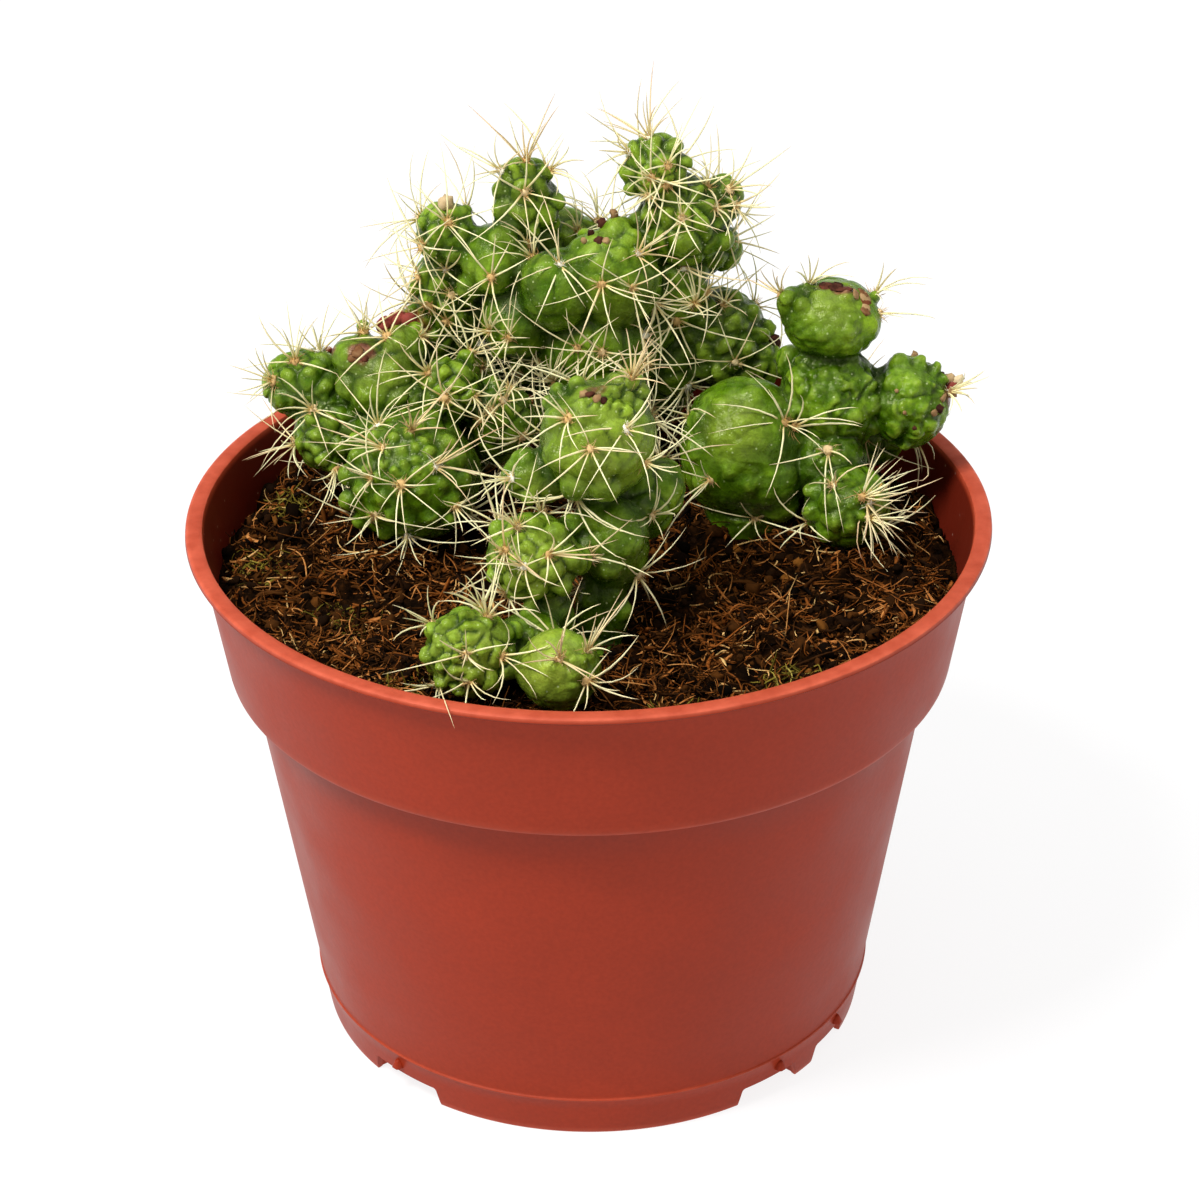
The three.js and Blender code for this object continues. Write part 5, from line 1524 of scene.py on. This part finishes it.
for name, areoles in AREOLES.items():
    random = np.random.default_rng(SEEDS[name] + 100)
    lone = rows_of(LONE_SPINES.get(name, ""), ",")
    curves = [np.reshape(row[:12], (4, 3)) for row in lone]
    tones = [row[12] for row in lone]
    for areole in areoles:
        star_curves, star_tones = star(areole, FULL_STARS[name], random)
        curves += star_curves
        tones += star_tones
    curves = np.array(curves)
    widths = random.uniform(*SPINE_RADIUS, len(curves))
    sideways = unit(random.normal(0, 1, (len(curves), 3)))
    piece = bent_copies(name + "_spines", SPINE, curves, widths, sideways, tones)
    finished(piece, spine_matter)
    print(name, "spines:", len(curves))

# %% [markdown]
# ## Areole wool
# Every areole is a small felted cushion of tan wool. A low cushion of short curled hairs,
# bent like the spines but far finer, gives the felt its broken edge.

# %% Wool cushions
wool_matter, tree = new_material("areole_wool", Roughness=0.95, IOR=1.5)
tans = [(0.0, "B4884C"), (0.4, "D8B274"), (0.75, "EBD5A6"), (1.0, "F8F2DE")]
dress(wool_matter, Base_Color=ramp(tree, stored(tree, "tone"), *tans))
HAIR = strand_template(3, (0, 1.0), (0.5, 0.9), (1, 0.3))
HAIRS_EACH, HAIR_RADIUS = 30, 0.06
WIDE_PAD, WIDE_ROUGH, SMALL_ROUGH = 1.4, 0.08, 0.28


def cushions(name, rests, random):
    """Bumpy round pads: each has a place, a normal, a width, a thickness and a tone."""
    shapes, tones = [], []
    for place, normal, width, thick, tone in rests:
        side = unit(np.cross(normal, [0.3, 0.9, 0.2]))
        axes = np.stack([side * width, np.cross(normal, side) * width, normal * thick])
        rough = WIDE_ROUGH if width > WIDE_PAD else SMALL_ROUGH
        bumpy = CRUMB[0] * random.uniform(1 - rough, 1 + rough, (len(CRUMB[0]), 1))
        shapes.append(place + bumpy @ axes)
        tones.append(tone)
    return mesh_of(name, np.array(shapes), CRUMB[1], tone=np.array(tones)[:, None], along=0.5)


for name, areoles in AREOLES.items():
    random = np.random.default_rng(SEEDS[name] + 200)
    curves, tones, pads = [], [], []
    for place, normal, *_ in areoles:
        reach = random.uniform(0.8, 1.15)
        colour_tone = 0.95 if random.random() < 0.2 else random.uniform(0.1, 0.6)
        pads.append((place, normal, 0.72 * reach, 0.42 * reach, min(colour_tone + 0.1, 1)))
        feet = random.normal(0, 0.42 * reach, (HAIRS_EACH, 3))
        feet -= np.outer(feet @ normal, normal)
        ahead = unit(normal + random.normal(0, 0.7, (HAIRS_EACH, 3)) + feet * 1.2)
        base = place + feet - normal * 0.1
        size = random.uniform(0.6, 1.15, (HAIRS_EACH, 1)) * reach
        bend = random.normal(0, 0.25, (HAIRS_EACH, 3))
        middle, late = base + ahead * size * 0.4, base + (ahead + bend) * size * 0.8
        curves.append(np.stack([base, middle, late, base + (ahead + 2 * bend) * size], 1))
        tones.append(np.clip(random.normal(colour_tone, 0.15, HAIRS_EACH), 0, 1))
    curves = np.concatenate(curves)
    sideways = unit(random.normal(0, 1, (len(curves), 3)))
    widths = np.full(len(curves), HAIR_RADIUS)
    hairs = bent_copies("hairs", HAIR, curves, widths, sideways, np.concatenate(tones))
    piece = join([cushions("pads", pads, random), hairs], name + "_wool")
    finished(piece, wool_matter)

# %% [markdown]
# ## Dried remains
# Old flower stubs, a dried bead, dark-red buds and corky crusts cling to a few places. They
# could be painted on, but they stand proud and have their own shade, so each is a small
# bumpy pad that rests on the nearest point of the skin.

# %% Dried stubs, buds and crusts
dried_matter = loose_material(
    "dried_flower_remains", 0.6, (0.0, "2A1510"), (0.18, "5C3426"), (0.32, "95453C"),
    (0.45, "6A4024"), (0.75, "B49468"), (1.0, "E2CFA6"),
)
# each row: place, width, thickness, tone, how far out of the skin
REMAINS = """
-22.2 28.4 129.2 1.25 1.25 0.85 0.4, -32.6 23.6 110.2 1.6 1.3 0.32 0.8,
-30.4 24.6 110.6 1.9 1.4 0.32 0.8, -28.4 23.4 110.4 1.5 1.2 0.3 0.7,
0.9 23.1 125.3 0.6 0.7 0.05 0.1, 1.9 21.6 125.3 0.8 0.6 0.1 0, 3 21.2 125.2 0.6 0.5 0.7 0.1,
0.2 22.2 124.8 0.5 0.6 0.68 0.2, 4.1 27.1 125.4 0.8 1 0.14 0.4,
4.9 26.2 125.8 0.7 0.9 0.58 0.5, 30.2 31 103.2 1.1 1.2 0.08 0.4,
30.1 30.4 101.8 0.9 0.9 0.12 0.3, 37.8 16.7 119.7 1.2 0.22 0.18 0,
39.2 16.4 119.7 1.4 0.3 0.1 0, 40.7 15.9 119.3 1.3 0.25 0.18 0, 42.2 15.1 118.6 0.9 0.3 0.62 0,
43.6 16.6 118.3 1 0.35 0.5 0, 44 15.9 117.9 1 0.25 0.7 0, 44.2 15 117.5 0.9 0.3 0.42 0,
44.2 14.2 117.1 0.9 0.25 0.72 0, 44 13.3 116.6 0.8 0.2 0.5 0, 57.8 16.1 103.1 1 1.2 0.78 0.5,
58.1 16 102.1 1.1 1.4 0.9 0.7, 58.1 14.4 101.8 0.9 1.1 0.6 0.5, 58 15.8 102.6 0.7 1.6 0.95 0.9,
58.1 14.9 103 0.6 1.2 0.3 0.5, 57.1 11.4 101.9 0.8 0.5 0.62 0.1, 56 9.7 101.3 0.7 0.5 0.05 0,
55.1 8.8 100.7 0.6 0.4 0.6 0.1, 52.5 18.4 107 0.6 0.8 0.6 0.4, 57.1 16.3 104.3 0.5 0.5 0.1 0.1,
50.2 7.8 101.6 0.35 0.3 0.6 0.1, 51.7 7.5 99.1 0.4 0.3 0.1 0.1, 49 9.7 104.6 0.35 0.3 0.65 0.1,
0.5 -23.3 120.5 0.7 0.5 0.15 0.1, 1.4 -23.9 120.3 0.8 0.5 0.62 0.1,
-0.5 -22.6 120.5 0.7 0.5 0.68 0.2, 2.6 -24.2 120.1 0.6 0.6 0.05 0.1,
-36.5 16.8 108.6 1 0.12 0.5 0, -35.6 16.2 108 0.7 0.12 0.2 0, -37.5 16.4 107.8 0.6 0.12 0.5 0,
-41.9 25.7 104.8 0.7 0.6 0.3 0.3"""
skin_places, skin_normals = (np.concatenate(arrays) for arrays in zip(*SKIN_POINTS))
rests = []
for *spot, width, thick, tone, proud in rows_of(REMAINS, ","):
    nearest = nearest_point(skin_places, spot)
    normal = skin_normals[nearest]
    rests.append((skin_places[nearest] + normal * thick * proud, normal, width, thick, tone))
remains = cushions("dried_remains", rests, np.random.default_rng(61))
finished(remains, dried_matter)
